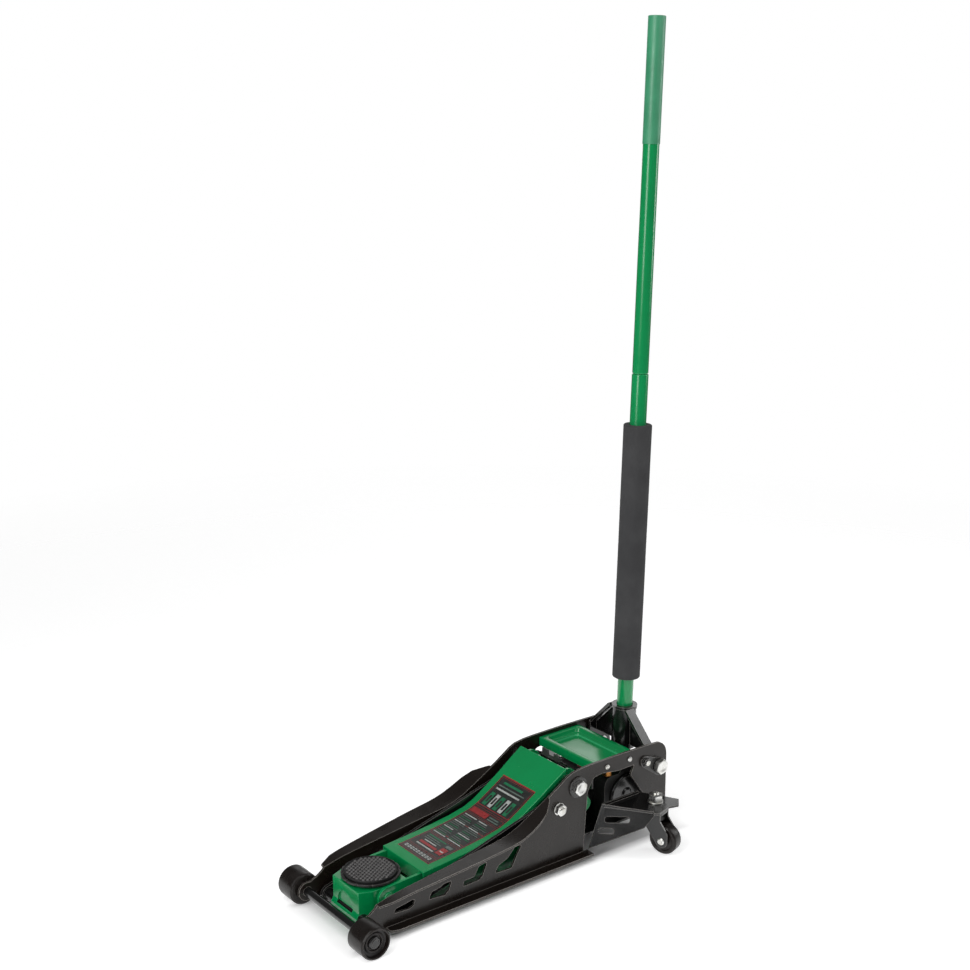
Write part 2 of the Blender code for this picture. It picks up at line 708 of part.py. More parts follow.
def tool_tray():
    front, back = 137, 236
    tray = box("tool_tray", (-TRAY_HALF, front, 162), (TRAY_HALF, back, 178.5), "green_enamel")
    under = box("under", (3 - TRAY_HALF, front - 5, 150), (TRAY_HALF - 3, back + 5, 175.5))
    cut(tray, under)
    pan = filleted([
        (-67, front + 9, 8), (67, front + 9, 8), (67, back - 9, 8), (-67, back - 9, 8),
    ], 2)
    join(tray, prism("pan", pan, "z", 167, 176))
    hollow = filleted([
        (-65, front + 11, 7), (65, front + 11, 7), (65, back - 11, 7), (-65, back - 11, 7),
    ], 3)
    cut(tray, prism("hollow", hollow, "z", 172.5, 190))
    inner = filleted([
        (-57, front + 19, 6), (57, front + 19, 6), (57, back - 19, 6), (-57, back - 19, 6),
    ], 3)
    cut(tray, prism("inner", inner, "z", 169, 180))
    for screw in TRAY_SCREWS:
        cut(tray, rod("hole", "x", screw, 2.8, -90, 90, segments=12))
    return tray


def tray_screw(name, centre):
    profile = [(0, 75), (2.5, 75), (2.5, 85.3), (5, 85.3), (5, 87.4), (0, 88.3)]
    left = lathe(name + "_left", profile, "x", centre, "zinc_bolts", 12)
    mirrored(left, name + "_right")


def make_tray():
    tool_tray()
    tray_screw("tray_screw_front", TRAY_SCREWS[0])
    tray_screw("tray_screw_rear", TRAY_SCREWS[1])


# ---------------------------------------------------------------- joint axes

def caster_axle_place():
    x, y = KINGPIN
    return (x + CASTER_TRAIL * math.cos(CASTER_SWIVEL), y + CASTER_TRAIL * math.sin(CASTER_SWIVEL))


def joint_places():
    """A point on the joint axis of each moving piece, as (x, y, z)."""
    hub = (*caster_axle_place(), CASTER_AXLE_Z)
    swivel = (*KINGPIN, 78.0)
    places = {}
    for name in ("lift_arm", "arm_top_panel", "crosshead_pin", "saddle_pin_left", "saddle_pin_right"):
        places[name] = (0, *ARM_PIVOT)
    for name in ("level_link_left", "level_link_right", "link_pin"):
        places[name] = (0, *LINK_PIVOT)
    places["saddle_bracket"] = (0, *SADDLE_PIVOT)
    places["saddle"] = places["saddle_pad"] = (0, SADDLE_PIVOT[0], 74.5)
    places["ram_piston"] = (0, 152, RAM_Z)
    places["handle_yoke"] = (0, *YOKE_PIVOT)
    for name in ("handle_lower", "foam_grip", "handle_upper", "top_grip"):
        places[name] = HANDLE_FOOT
    places["release_valve"] = (0, 268.4, VALVE_Z)
    for name, side in SIDES.items():
        places["pump_plunger_" + name] = (side * PLUNGER_X, 236, CAM_BAR[1])
        places["front_wheel_" + name] = (side * 111, *FRONT_AXLE)
        places["caster_fork_" + name] = (side * swivel[0], swivel[1], swivel[2])
        for piece in ("caster_axle_", "caster_wheel_"):
            places[piece + name] = (side * hub[0], hub[1], hub[2])
    return places


def set_origins():
    for name, (x, y, z) in joint_places().items():
        obj = bpy.data.objects[name]
        place = Vector((x * MM, (y + SHIFT_Y) * MM, z * MM))
        obj.data.transform(Matrix.Translation(-place))
        obj.location = place


clear_scene()
make_materials()
make_frame()
make_running_gear()
make_arm()
make_hydraulics()
make_handle()
make_tray()
set_origins()
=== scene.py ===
"""The looks of a low-profile double-pump trolley jack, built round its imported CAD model.

The saddle end faces -Y, the handle stands at +Y, +Z is up and +X is the operator's left.
Small sizes are in millimetres and are turned into metres where a mesh is made. Places come
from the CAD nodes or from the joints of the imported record, with small named offsets.
"""
import json
import math

import bmesh
import bpy
from mathutils import Matrix, Vector
from mathutils.bvhtree import BVHTree

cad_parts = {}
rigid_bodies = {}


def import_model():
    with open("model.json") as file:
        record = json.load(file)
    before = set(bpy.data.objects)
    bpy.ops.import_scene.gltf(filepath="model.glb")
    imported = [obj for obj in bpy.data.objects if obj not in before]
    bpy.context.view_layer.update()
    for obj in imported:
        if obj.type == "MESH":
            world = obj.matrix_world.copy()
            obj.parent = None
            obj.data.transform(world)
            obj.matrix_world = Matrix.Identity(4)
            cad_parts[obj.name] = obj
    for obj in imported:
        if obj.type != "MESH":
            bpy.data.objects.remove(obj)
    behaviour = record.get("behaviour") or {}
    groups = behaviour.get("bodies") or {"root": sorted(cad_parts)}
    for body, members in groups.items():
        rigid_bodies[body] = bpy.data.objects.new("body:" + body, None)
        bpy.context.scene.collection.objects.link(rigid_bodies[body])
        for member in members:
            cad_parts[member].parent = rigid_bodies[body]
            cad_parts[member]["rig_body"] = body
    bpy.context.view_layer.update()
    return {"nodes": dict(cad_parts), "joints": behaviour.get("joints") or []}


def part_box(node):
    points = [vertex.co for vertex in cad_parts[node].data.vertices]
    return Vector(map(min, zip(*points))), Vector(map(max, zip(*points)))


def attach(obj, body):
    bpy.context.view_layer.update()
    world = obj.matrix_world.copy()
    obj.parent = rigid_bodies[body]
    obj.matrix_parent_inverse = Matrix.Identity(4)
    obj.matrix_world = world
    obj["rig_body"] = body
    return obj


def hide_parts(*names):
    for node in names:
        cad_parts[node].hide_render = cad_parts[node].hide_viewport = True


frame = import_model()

MM = 0.001               # one millimetre in metres
SIDES = {"left": 1, "right": -1}
X, Y, Z = Vector((1, 0, 0)), Vector((0, 1, 0)), Vector((0, 0, 1))
JOINTS = {joint["name"]: joint for joint in frame["joints"]}


# -------------------- materials

COAT_ROUGHNESS = 0.16


class Finish:
    """A Principled material whose inputs are fed by small groups of procedural nodes."""

    def __init__(self, name, colour, roughness, metallic=0.0, coat=0.0, specular=0.5):
        self.material = bpy.data.materials.new(name)
        self.material.use_nodes = True
        self.tree = self.material.node_tree
        self.shader = self.tree.nodes["Principled BSDF"]
        self.set("Base Color", (*colour, 1.0))
        self.set("Roughness", roughness)
        self.set("Metallic", metallic)
        self.set("Coat Weight", coat)
        self.set("Coat Roughness", COAT_ROUGHNESS)
        self.set("Specular IOR Level", specular)
        self.colour = self.solid(colour)
        self.material.diffuse_color = (*colour, 1.0)

    def set(self, socket, value):
        self.shader.inputs[socket].default_value = value

    def node(self, kind, **settings):
        made = self.tree.nodes.new(kind)
        for key, value in settings.items():
            setattr(made, key, value)
        return made

    def link(self, output, target):
        self.tree.links.new(output, target)

    def solid(self, colour):
        made = self.node("ShaderNodeRGB")
        made.outputs[0].default_value = (*colour, 1.0)
        return made.outputs[0]

    def place(self, stretch=(1, 1, 1)):
        mapping = self.node("ShaderNodeMapping")
        mapping.inputs["Scale"].default_value = stretch
        self.link(self.node("ShaderNodeTexCoord").outputs["Object"], mapping.inputs["Vector"])
        return mapping.outputs["Vector"]

    def noise(self, scale, detail=4.0, stretch=(1, 1, 1)):
        made = self.node("ShaderNodeTexNoise")
        made.inputs["Scale"].default_value = scale
        made.inputs["Detail"].default_value = detail
        self.link(self.place(stretch), made.inputs["Vector"])
        return made.outputs["Fac"]

    def cells(self, scale):
        made = self.node("ShaderNodeTexVoronoi")
        made.inputs["Scale"].default_value = scale
        self.link(self.place(), made.inputs["Vector"])
        return made.outputs["Distance"]

    def remap(self, value, low, high, to_low, to_high):
        made = self.node("ShaderNodeMapRange")
        ends = {"From Min": low, "From Max": high, "To Min": to_low, "To Max": to_high}
        for socket, number in ends.items():
            made.inputs[socket].default_value = number
        self.link(value, made.inputs["Value"])
        return made.outputs["Result"]

    def blend(self, factor, first, second):
        made = self.node("ShaderNodeMix", data_type="RGBA")
        self.link(factor, made.inputs[0])
        self.link(first, made.inputs[6])
        self.link(second, made.inputs[7])
        return made.outputs[2]

    def vary_colour(self, factor, other):
        """Mixes the colour so far toward another where the factor is 1."""
        self.colour = self.blend(factor, self.colour, self.solid(other))
        self.link(self.colour, self.shader.inputs["Base Color"])

    def mottle(self, scale, other, low=0.4, high=0.7, detail=4.0):
        """Soft patches of another colour where a noise lies above low to high."""
        self.vary_colour(self.remap(self.noise(scale, detail), low, high, 0.0, 1.0), other)

    def vary_roughness(self, factor, low, high):
        """Roughness from low to high over the middle of a noise's range."""
        self.link(self.remap(factor, 0.3, 0.7, low, high), self.shader.inputs["Roughness"])

    def bump(self, height, depth_mm, strength=1.0):
        made = self.node("ShaderNodeBump")
        made.inputs["Strength"].default_value = strength
        made.inputs["Distance"].default_value = depth_mm * MM
        self.link(height, made.inputs["Height"])
        normal = self.shader.inputs["Normal"]
        if normal.links:
            self.link(normal.links[0].from_socket, made.inputs["Normal"])
        self.link(made.outputs["Normal"], normal)

    def edges(self, radius_mm):
        """1 along edges and corners, 0 on open faces; it places the painted edge highlights."""
        bevel = self.node("ShaderNodeBevel", samples=6)
        bevel.inputs["Radius"].default_value = radius_mm * MM
        dot = self.node("ShaderNodeVectorMath", operation="DOT_PRODUCT")
        self.link(bevel.outputs["Normal"], dot.inputs[0])
        self.link(self.node("ShaderNodeNewGeometry").outputs["Normal"], dot.inputs[1])
        return self.remap(dot.outputs["Value"], 0.985, 0.9, 0.0, 1.0)


def enamel(name, colour, shade, edge_highlight, roughness, coat):
    """Sprayed gloss paint: faint orange peel, uneven sheen and a painted highlight of paler colour along the
    edges.
    """
    made = Finish(name, colour, roughness, coat=coat, specular=0.4)
    made.mottle(9, shade, low=0.35, high=0.75)
    made.vary_colour(made.remap(made.noise(420, 2), 0.62, 0.8, 0.0, 0.25), shade)
    # painted highlight: paler colour along the edges and corners
    made.vary_colour(made.edges(2.2), edge_highlight)
    made.vary_roughness(made.noise(26), roughness * 0.8, roughness * 1.3)
    made.bump(made.noise(520, 1), 0.05, 0.12)
    made.bump(made.noise(60, 2), 0.12, 0.25)
    return made.material


def green_paint():
    # the third colour is the painted highlight along the edges
    return enamel("green_paint", (0.0, 0.30, 0.085), (0.0, 0.25, 0.068), (0.04, 0.45, 0.18), 0.22, 0.55)


def black_paint():
    # the third colour is the painted highlight along the edges
    colour, shade, edge_highlight = (0.011, 0.0075, 0.0055), (0.008, 0.0055, 0.004), (0.26, 0.24, 0.22)
    return enamel("black_paint", colour, shade, edge_highlight, 0.27, 0.05)


def deep_black_paint():
    # the third colour is the painted highlight along the edges
    colour, shade, edge_highlight = (0.006, 0.006, 0.006), (0.004, 0.004, 0.004), (0.17, 0.16, 0.15)
    return enamel("deep_black_paint", colour, shade, edge_highlight, 0.2, 0.5)


def black_casting():
    made = Finish("black_casting", (0.008, 0.008, 0.008), 0.4)
    made.mottle(14, (0.018, 0.017, 0.016))
    # painted highlight: paler colour along the edges and corners
    made.vary_colour(made.edges(1.6), (0.18, 0.165, 0.155))
    made.vary_roughness(made.noise(40), 0.35, 0.6)
    made.bump(made.noise(260, 3), 0.35, 0.6)
    return made.material


def wheel_black():
    made = Finish("wheel_black", (0.009, 0.0065, 0.0055), 0.24, specular=0.32)
    made.vary_colour(made.remap(made.noise(30, 6), 0.5, 0.75, 0.0, 0.8), (0.020, 0.017, 0.016))
    # painted highlight: paler colour along the edges and corners
    made.vary_colour(made.edges(1.6), (0.16, 0.14, 0.13))
    made.vary_roughness(made.noise(45), 0.2, 0.42)
    made.bump(made.noise(190, 3), 0.25, 0.4)
    return made.material


def zinc():
    made = Finish("zinc", (0.78, 0.78, 0.76), 0.3, metallic=1.0)
    made.mottle(60, (0.62, 0.61, 0.56), low=0.45)
    made.vary_roughness(made.noise(120), 0.22, 0.42)
    made.bump(made.noise(400, 2), 0.08, 0.3)
    return made.material


def ground_steel():
    made = Finish("ground_steel", (0.62, 0.62, 0.62), 0.2, metallic=1.0)
    made.mottle(40, (0.45, 0.45, 0.45))
    made.vary_roughness(made.noise(300, 2, (0.05, 1, 1)), 0.14, 0.34)
    made.bump(made.noise(700, 1, (0.05, 1, 1)), 0.03, 0.3)
    return made.material


# zinc darkened to a dull grey as painted shade, for the spring anchor that sits in shade
def shade_darkened_steel():
    made = Finish("shade_darkened_steel", (0.17, 0.18, 0.17), 0.5, metallic=0.6)
    made.mottle(70, (0.10, 0.105, 0.10))
    made.vary_roughness(made.noise(120), 0.4, 0.6)
    return made.material


def stud_rubber_painted_highlight():
    """The tops of the pad's studs, painted paler than the grooves between them as a painted highlight."""
    made = Finish("stud_rubber_painted_highlight", (0.105, 0.10, 0.10), 0.36, specular=0.7)
    made.mottle(120, (0.065, 0.06, 0.06))
    made.vary_roughness(made.noise(160), 0.2, 0.4)
    return made.material


def pad_rubber():
    made = Finish("pad_rubber", (0.010, 0.010, 0.010), 0.5, specular=0.4)
    made.mottle(90, (0.018, 0.017, 0.017), low=0.45)
    made.vary_roughness(made.noise(160), 0.32, 0.6)
    made.bump(made.noise(600, 2), 0.1, 0.4)
    return made.material


def foam():
    made = Finish("foam", (0.050, 0.050, 0.052), 0.92, specular=0.2)
    made.set("Sheen Weight", 0.04)
    made.mottle(16, (0.064, 0.064, 0.066))
    # painted shade: darker in the pits of the foam's cells
    made.vary_colour(made.remap(made.cells(520), 0.0, 0.25, 0.6, 0.0), (0.028, 0.028, 0.029))
    made.vary_roughness(made.noise(50), 0.85, 0.98)
    made.bump(made.cells(520), 0.4, 0.5)
    made.bump(made.noise(35, 2), 0.5, 0.3)
    return made.material


def brass():
    made = Finish("brass_metal", (0.80, 0.36, 0.10), 0.3, metallic=1.0)
    made.mottle(90, (0.55, 0.24, 0.07))
    made.vary_roughness(made.noise(200), 0.2, 0.4)
    return made.material


def red_plastic():
    made = Finish("red_cap", (0.42, 0.012, 0.03), 0.35, coat=0.2)
    made.mottle(70, (0.30, 0.008, 0.02))
    made.vary_roughness(made.noise(120), 0.28, 0.45)
    return made.material


def knurled_green():
    """The matt, finely knurled sleeve at the top of the handle."""
    made = Finish("knurled_green", (0.05, 0.32, 0.16), 0.4, specular=0.8)
    made.mottle(25, (0.035, 0.26, 0.125))
    made.vary_roughness(made.noise(60), 0.36, 0.5)
    made.bump(made.cells(640), 0.2, 0.25)
    return made.material


def vinyl(name, colour, other, roughness=0.3):
    """Printed label film, slightly mottled."""
    made = Finish(name, colour, roughness, coat=0.3)
    made.mottle(120, other, low=0.42, high=0.68, detail=3)
    made.vary_roughness(made.noise(80), roughness * 0.8, roughness * 1.3)
    made.bump(made.noise(220, 1), 0.04, 0.3)
    return made.material


GREEN = green_paint()
BLACK = black_paint()
DEEP_BLACK = deep_black_paint()
CASTING = black_casting()
WHEEL = wheel_black()
ZINC = zinc()
STEEL = ground_steel()
RUBBER = pad_rubber()
# the studs' paler rubber is a painted highlight on their tops
STUDS_PAINTED_HIGHLIGHT = stud_rubber_painted_highlight()
# steel darkened as painted shade
SHADE_DARKENED_STEEL = shade_darkened_steel()
FOAM = foam()
BRASS = brass()
RED = red_plastic()
SLEEVE = knurled_green()
LABEL_BLACK = vinyl("label_black", (0.022, 0.024, 0.022), (0.034, 0.036, 0.034))
LABEL_RED = vinyl("label_red", (0.36, 0.035, 0.035), (0.27, 0.025, 0.028))
LABEL_WHITE = vinyl("label_white", (0.50, 0.52, 0.50), (0.36, 0.39, 0.37))
LABEL_GREY = vinyl("label_grey", (0.15, 0.19, 0.17), (0.10, 0.15, 0.125))
LABEL_GREEN = vinyl("label_green", (0.02, 0.20, 0.09), (0.015, 0.15, 0.065))


# -------------------- meshes

def add_piece(name, mesh, materials, body):
    piece = bpy.data.objects.new(name, mesh)
    bpy.context.scene.collection.objects.link(piece)
    mesh.materials.clear()
    for material in materials:
        mesh.materials.append(material)
    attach(piece, body)
    return piece


def add_skin(name, mesh, material, node):
    """A piece that stands for a CAD node, rides on its body and hides the node."""
    piece = add_piece(name, mesh, [material], body_of(node))
    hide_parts(node)
    return piece


def mesh_from(name, points, faces, sharp=32):
    """A smooth mesh whose edges are sharp where its faces meet at more than that many degrees."""
    mesh = bpy.data.meshes.new(name)
    mesh.from_pydata([tuple(point) for point in points], [], faces)
    shape = bmesh.new()
    shape.from_mesh(mesh)
    bmesh.ops.recalc_face_normals(shape, faces=shape.faces)
    shape.to_mesh(mesh)
    shape.free()
    mesh.shade_smooth()
    mesh.set_sharp_from_angle(angle=math.radians(sharp))
    return mesh


WELD_DISTANCE = 0.01     # points closer than this are one point, in millimetres
FLAT_ANGLE = 0.25        # faces that meet at less than this are one face, in degrees
EDGE_ANGLE = 32          # edges sharper than this are rounded over, in degrees


def dressed(node, material, width=0.7, segments=2):
    """The CAD node's own shape with its edges rounded over, standing for the node."""
    mesh = frame["nodes"][node].data.copy()
    for attribute in ("custom_normal", "sharp_edge", "sharp_face"):
        if attribute in mesh.attributes:
            mesh.attributes.remove(mesh.attributes[attribute])
    shape = bmesh.new()
    shape.from_mesh(mesh)
    bmesh.ops.remove_doubles(shape, verts=shape.verts, dist=WELD_DISTANCE * MM)
    flat = math.radians(FLAT_ANGLE)
    bmesh.ops.dissolve_limit(shape, angle_limit=flat, verts=shape.verts, edges=shape.edges)
    bmesh.ops.recalc_face_normals(shape, faces=shape.faces)
    shape.to_mesh(mesh)
    shape.free()
    mesh.shade_smooth()
    piece = add_skin(node + "_skin", mesh, material, node)
    bevel = piece.modifiers.new("rounded_edges", "BEVEL")
    bevel.width = width * MM
    bevel.segments = segments
    bevel.limit_method = "ANGLE"
    bevel.angle_limit = math.radians(EDGE_ANGLE)
    piece.modifiers.new("face_normals", "WEIGHTED_NORMAL")


def body_of(node):
    return frame["nodes"][node]["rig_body"]


def middle(node):
    low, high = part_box(node)
    return (Vector(low) + Vector(high)) / 2


def across(node):
    """The point on the jack's middle plane that is level with a node's middle."""
    centre = middle(node)
    return Vector((0, centre.y, centre.z))


def upright(node):
    """The point on the floor under a node's middle."""
    centre = middle(node)
    return Vector((centre.x, centre.y, 0))


def inner_and_outer(node):
    """A side piece's nearest and farthest distance from the jack's middle plane, in millimetres."""
    low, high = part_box(node)
    ends = (abs(low[0]) / MM, abs(high[0]) / MM)
    return min(ends), max(ends)


def bottom_and_top(node):
    """Heights above the floor in millimetres."""
    low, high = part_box(node)
    return low[2] / MM, high[2] / MM


def plate_face():
    """The outer face of a side plate, where the arm bolts seat, in millimetres from the middle."""
    return inner_and_outer("arm_bolt_left")[0]


def round_corners(corners, steps=5):
    """A closed (radius, along) outline in which a third number rounds the corner by that much."""
    points = []
    count = len(corners)
    for i, corner in enumerate(corners):
        here = Vector(corner[:2])
        if len(corner) < 3:
            points.append((here.x, here.y))
            continue
        before = (Vector(corners[i - 1][:2]) - here).normalized()
        after = (Vector(corners[(i + 1) % count][:2]) - here).normalized()
        half = before.angle(after) / 2
        reach = corner[2] / math.tan(half)
        centre = here + (before + after).normalized() * corner[2] / math.sin(half)
        first = here + before * reach - centre
        turn = first.angle_signed(here + after * reach - centre)
        for k in range(steps + 1):
            spoke = first.copy()
            spoke.rotate(Matrix.Rotation(-turn * k / steps, 2))
            points.append(tuple(centre + spoke))
    return points


ON_AXIS = 0.001          # a smaller radius than this is a single point on the axis, in millimetres


def turned(name, profile, centre, axis, material, stands_for=None, segments=72, ripple=None):
    """Spins a closed (radius, along) outline, in millimetres, about an axis through centre.

    The piece rides with the CAD node that it stands for and hides that node. An extra piece rides on
    the chassis. ripple(radius, along, angle) may return a changed (radius, along) for each point."""
    axis = axis.normalized()
    side = axis.orthogonal().normalized()
    other = axis.cross(side)
    points = []
    rings = []
    for radius, along in profile:
        if radius <= ON_AXIS:
            rings.append([len(points)])
            points.append(centre + axis * along * MM)
            continue
        ring = []
        for i in range(segments):
            angle = 2 * math.pi * i / segments
            r, a = ripple(radius, along, angle) if ripple else (radius, along)
            spoke = side * math.cos(angle) + other * math.sin(angle)
            ring.append(len(points))
            points.append(centre + (axis * a + spoke * r) * MM)
        rings.append(ring)
    faces = []
    for i, ring in enumerate(rings):
        after = rings[(i + 1) % len(rings)]
        if len(ring) == 1 and len(after) == 1:
            continue
        for k in range(segments):
            m = (k + 1) % segments
            if len(ring) == 1:
                faces.append([ring[0], after[k], after[m]])
            elif len(after) == 1:
                faces.append([ring[k], ring[m], after[0]])
            else:
                faces.append([ring[k], ring[m], after[m], after[k]])
    mesh = mesh_from(name, points, faces)
    if stands_for:
        return add_skin(name, mesh, material, stands_for)
    return add_piece(name, mesh, [material], "chassis")


CHAMFER_SLOPE = 0.55     # how far a hexagon's corner is cut down for each millimetre outward
DISH_DEPTH = 0.7


def hex_head(name, centre, axis, across_flats, height, material, stands_for=None, dished=True):
    """A hexagon head: a chamfer cut by a cone and, if dished, a shallow dish in its face."""
    corner_radius = across_flats / math.sqrt(3)
    face_radius = across_flats * 0.47

    def hexed(radius, along, angle):
        if radius < corner_radius - 0.01:
            return radius, along
        flat = (angle + math.pi / 6) % (math.pi / 3) - math.pi / 6
        reach = across_flats / 2 / math.cos(flat)
        drop = CHAMFER_SLOPE * (reach - face_radius) if along > height / 2 else 0.0
        return reach, along - drop

    profile = [(0, 0), (corner_radius, 0), (corner_radius, height), (face_radius, height)]
    if dished:
        floor = height - DISH_DEPTH
        profile += [(face_radius * 0.72, height), (face_radius * 0.62, floor), (0, floor)]
    else:
        profile += [(0, height)]
    turned(name, profile, centre, axis, material, stands_for, ripple=hexed)


def thread(first, last, crest, root):
    """Outline points of a thread of 1 mm pitch."""
    points = []
    for i in range(int(last - first)):
        points += [(crest, first - 0.5 + i), (root, first + i)]
    return points


def measured(node, origin, axis):
    """Start, end and largest radius of a CAD node about an axis, in millimetres."""
    along = []
    radii = []
    for vertex in frame["nodes"][node].data.vertices:
        offset = vertex.co - origin
        depth = offset.dot(axis)
        along.append(depth)
        radii.append((offset - axis * depth).length)
    return min(along) / MM, max(along) / MM, max(radii) / MM


# -------------------- chassis

def make_plates():
    for side in SIDES:
        dressed("side_plate_" + side, BLACK, width=0.9, segments=3)
        dressed("rear_wing_" + side, DEEP_BLACK, width=1.0, segments=3)
        dressed("pivot_keeper_" + side, DEEP_BLACK)
    dressed("cross_tie", DEEP_BLACK, width=0.8)
    dressed("unit_cradle", DEEP_BLACK, width=0.8)
    # the spring anchor's darkened steel is painted shade
    dressed("spring_anchor", SHADE_DARKENED_STEEL, width=0.5)


def make_front_axle():
    """A bar with a stepped cap at each end."""
    low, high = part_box("front_axle")
    reach = (high[0] - low[0]) / 2 / MM
    cap = [
        (8, reach - 6), (11, reach - 6, 0.5), (11, reach - 3.2, 1.0), (9.4, reach - 1.6, 1.0),
        (7.5, reach - 1.2, 1), (6.5, reach - 0.2, 0.4), (0, reach - 0.2),
    ]
    other_cap = [(c[0], -c[1], *c[2:]) for c in reversed(cap)]
    turned(
        "front_axle_shaft", round_corners(other_cap + cap), middle("front_axle"), X, DEEP_BLACK,
        stands_for="front_axle", segments=56,
    )


def make_front_wheels():
    """Steel rollers: crowned tread, flat side ring, deep recess with a raised bearing ring."""
    for side, sign in SIDES.items():
        node = "front_wheel_" + side
        centre = Vector(JOINTS["front_roll_" + side]["pos_m"])
        axis = X * sign
        start, end, radius = measured(node, centre, axis)
        profile = round_corners([
            (8.4, start), (13, start, 0.5), (13, start + 3), (25, start + 3, 1),
            (radius - 0.2, start + 5.5, 2), (radius, (start + end) / 2), (radius - 0.2, end - 3, 2.0),
            (26.4, end - 0.2, 0.8), (24.4, end - 0.2, 0.8), (23.4, end - 8.5, 1.5),
            (18.0, end - 9.5, 1.0), (17.2, end - 6.5, 0.8),
            (14.4, end - 6.2, 0.8), (13.2, end - 9.6), (8.4, end - 9.6),
        ], 4)
        turned(node + "_roller", profile, centre, axis, WHEEL, stands_for=node, segments=96)


def make_arm_bolts():
    """A thick dished washer and a large hexagon head at each end of the arm's shaft."""
    face = plate_face()
    start = across("arm_shaft")
    seat = face + 2.2
    for side, sign in SIDES.items():
        node = "arm_bolt_" + side
        axis = X * sign
        washer = round_corners([
            (0, face), (20, face, 0.3), (20, face + 2.4, 0.9), (15.4, face + 3.0, 0.6),
            (15.0, seat), (0, seat),
        ], 3)
        turned(node + "_washer", washer, start, axis, DEEP_BLACK)
        hex_head(node + "_head", start + axis * seat * MM, axis, 25, 9.2, ZINC, stands_for=node)


def make_link_bolts():
    """A stud through the plate, with a washer and a nut outside."""
    washer_thickness = 1.6
    plate = plate_face()
    for side, sign in SIDES.items():
        node = "link_bolt_" + side
        axis = X * sign
        start = across(node) + axis * plate * MM
        inner, outer = inner_and_outer(node)
        inner -= plate
        outer -= plate
        stud = [(0, inner), (11, inner), (11, inner + 4), (7, inner + 4)]
        stud += thread(10, outer, 7, 6.3)
        stud += [(6.6, outer - 0.6), (5.6, outer), (0, outer)]
        turned(node + "_stud", stud, start, axis, ZINC, stands_for=node, segments=40)
        ring = round_corners([
            (7.1, 0), (11.8, 0, 0.2), (11.8, washer_thickness, 0.5), (7.1, washer_thickness),
        ], 3)
        turned(node + "_washer", ring, start, axis, ZINC, segments=48)
        hex_head(node + "_nut", start + axis * washer_thickness * MM, axis, 20, 8.2, ZINC, dished=False)


YOKE_HEAD_SHIFT = Vector((0, -2.5, 3))   # from the shank's axis to the head's, in millimetres


def make_yoke_bolts():
    """A shank through plate and yoke, and a collar and a head a little ahead of and above it."""
    for side, sign in SIDES.items():
        node = "yoke_bolt_" + side
        axis = X * sign
        inner, outer = inner_and_outer(node)
        face = outer - 10.4
        centre = across(node)
        shank = [(0, inner), (8, inner), (8, face), (0, face)]
        turned(node + "_shank", shank, centre, axis, STEEL, stands_for=node, segments=40)
        centre += YOKE_HEAD_SHIFT * MM
        collar = round_corners([(0, face), (14, face, 0.3), (14, face + 2.4, 1), (0, face + 2.4)], 3)
        turned(node + "_collar", collar, centre, axis, DEEP_BLACK, segments=56)
        hex_head(node + "_head", centre + axis * (face + 1) * MM, axis, 26, 9.4, ZINC)


STOP_SCREW_AHEAD = 36    # from the yoke bolt toward the saddle end
STOP_SCREW_ABOVE = 19


def make_stop_screws():
    """A small screw in a dark collar in front of each yoke bolt."""
    face = plate_face()
    start = across("yoke_bolt_left") + Vector((0, -STOP_SCREW_AHEAD, STOP_SCREW_ABOVE)) * MM
    for side, sign in SIDES.items():
        axis = X * sign
        collar = round_corners([
            (0, face), (9.5, face, 0.3), (9.5, face + 3.5, 1), (6.5, face + 4.5, 0.5), (0, face + 4.5),
        ], 3)
        turned(
            "stop_screw_collar_" + side, collar, start, axis, DEEP_BLACK, segments=40,
        )
        hex_head("stop_screw_head_" + side, start + axis * (face + 4.4) * MM, axis, 10, 5, ZINC)


def make_tray_screws():
    """Round heads, each with a shallow socket, on short shanks through the plates."""
    for place in ("front", "rear"):
        for side, sign in SIDES.items():
            node = "tray_screw_%s_%s" % (place, side)
            inner, outer = inner_and_outer(node)
            profile = round_corners([
                (0, inner), (2.5, inner), (2.5, outer - 3), (5, outer - 3, 0.2), (4.8, outer - 1, 0.8),
                (2.6, outer - 0.1, 0.6), (2.2, outer - 1.6), (0, outer - 1.6),
            ], 3)
            turned(node + "_head", profile, across(node), X * sign, ZINC, stands_for=node, segments=32)


# -------------------- casters

CASTER_SEAT = 95.3       # height of the wing's top plate, under the caster's nut, in millimetres


def make_casters():
    for side in SIDES:
        make_caster_bolt(side)
        make_caster_race(side)
        dressed("caster_fork_" + side, DEEP_BLACK, width=0.8, segments=3)
        make_caster_wheel(side)


def swivel_foot(side):
    """The point on the floor under a caster's swivel."""
    swivel = JOINTS["caster_swivel_" + side]["pos_m"]
    return Vector((swivel[0], swivel[1], 0))


def make_caster_bolt(side):
    """A threaded bolt up through the wing, with a washer and a nut on top."""
    node = "caster_bolt_" + side
    start = swivel_foot(side)
    bottom, top = bottom_and_top(node)
    seat = CASTER_SEAT
    washer_top = seat + 2.2
    bolt = [(0, bottom), (9.5, bottom), (9.5, bottom + 5), (6, bottom + 5), (6, seat + 12)]
    bolt += thread(seat + 13, top, 6, 5.4)
    bolt += [(5.8, top - 1.2), (4.8, top), (0, top)]
    turned(node + "_stud", bolt, start, Z, ZINC, stands_for=node, segments=40)
    ring = round_corners([(6.1, seat), (14.5, seat, 0.3), (14.5, washer_top, 0.6), (6.1, washer_top)], 3)
    turned(node + "_washer", ring, start, Z, ZINC, segments=56)
    hex_head(node + "_nut", start + Z * washer_top * MM, Z, 24, 13, ZINC, dished=False)


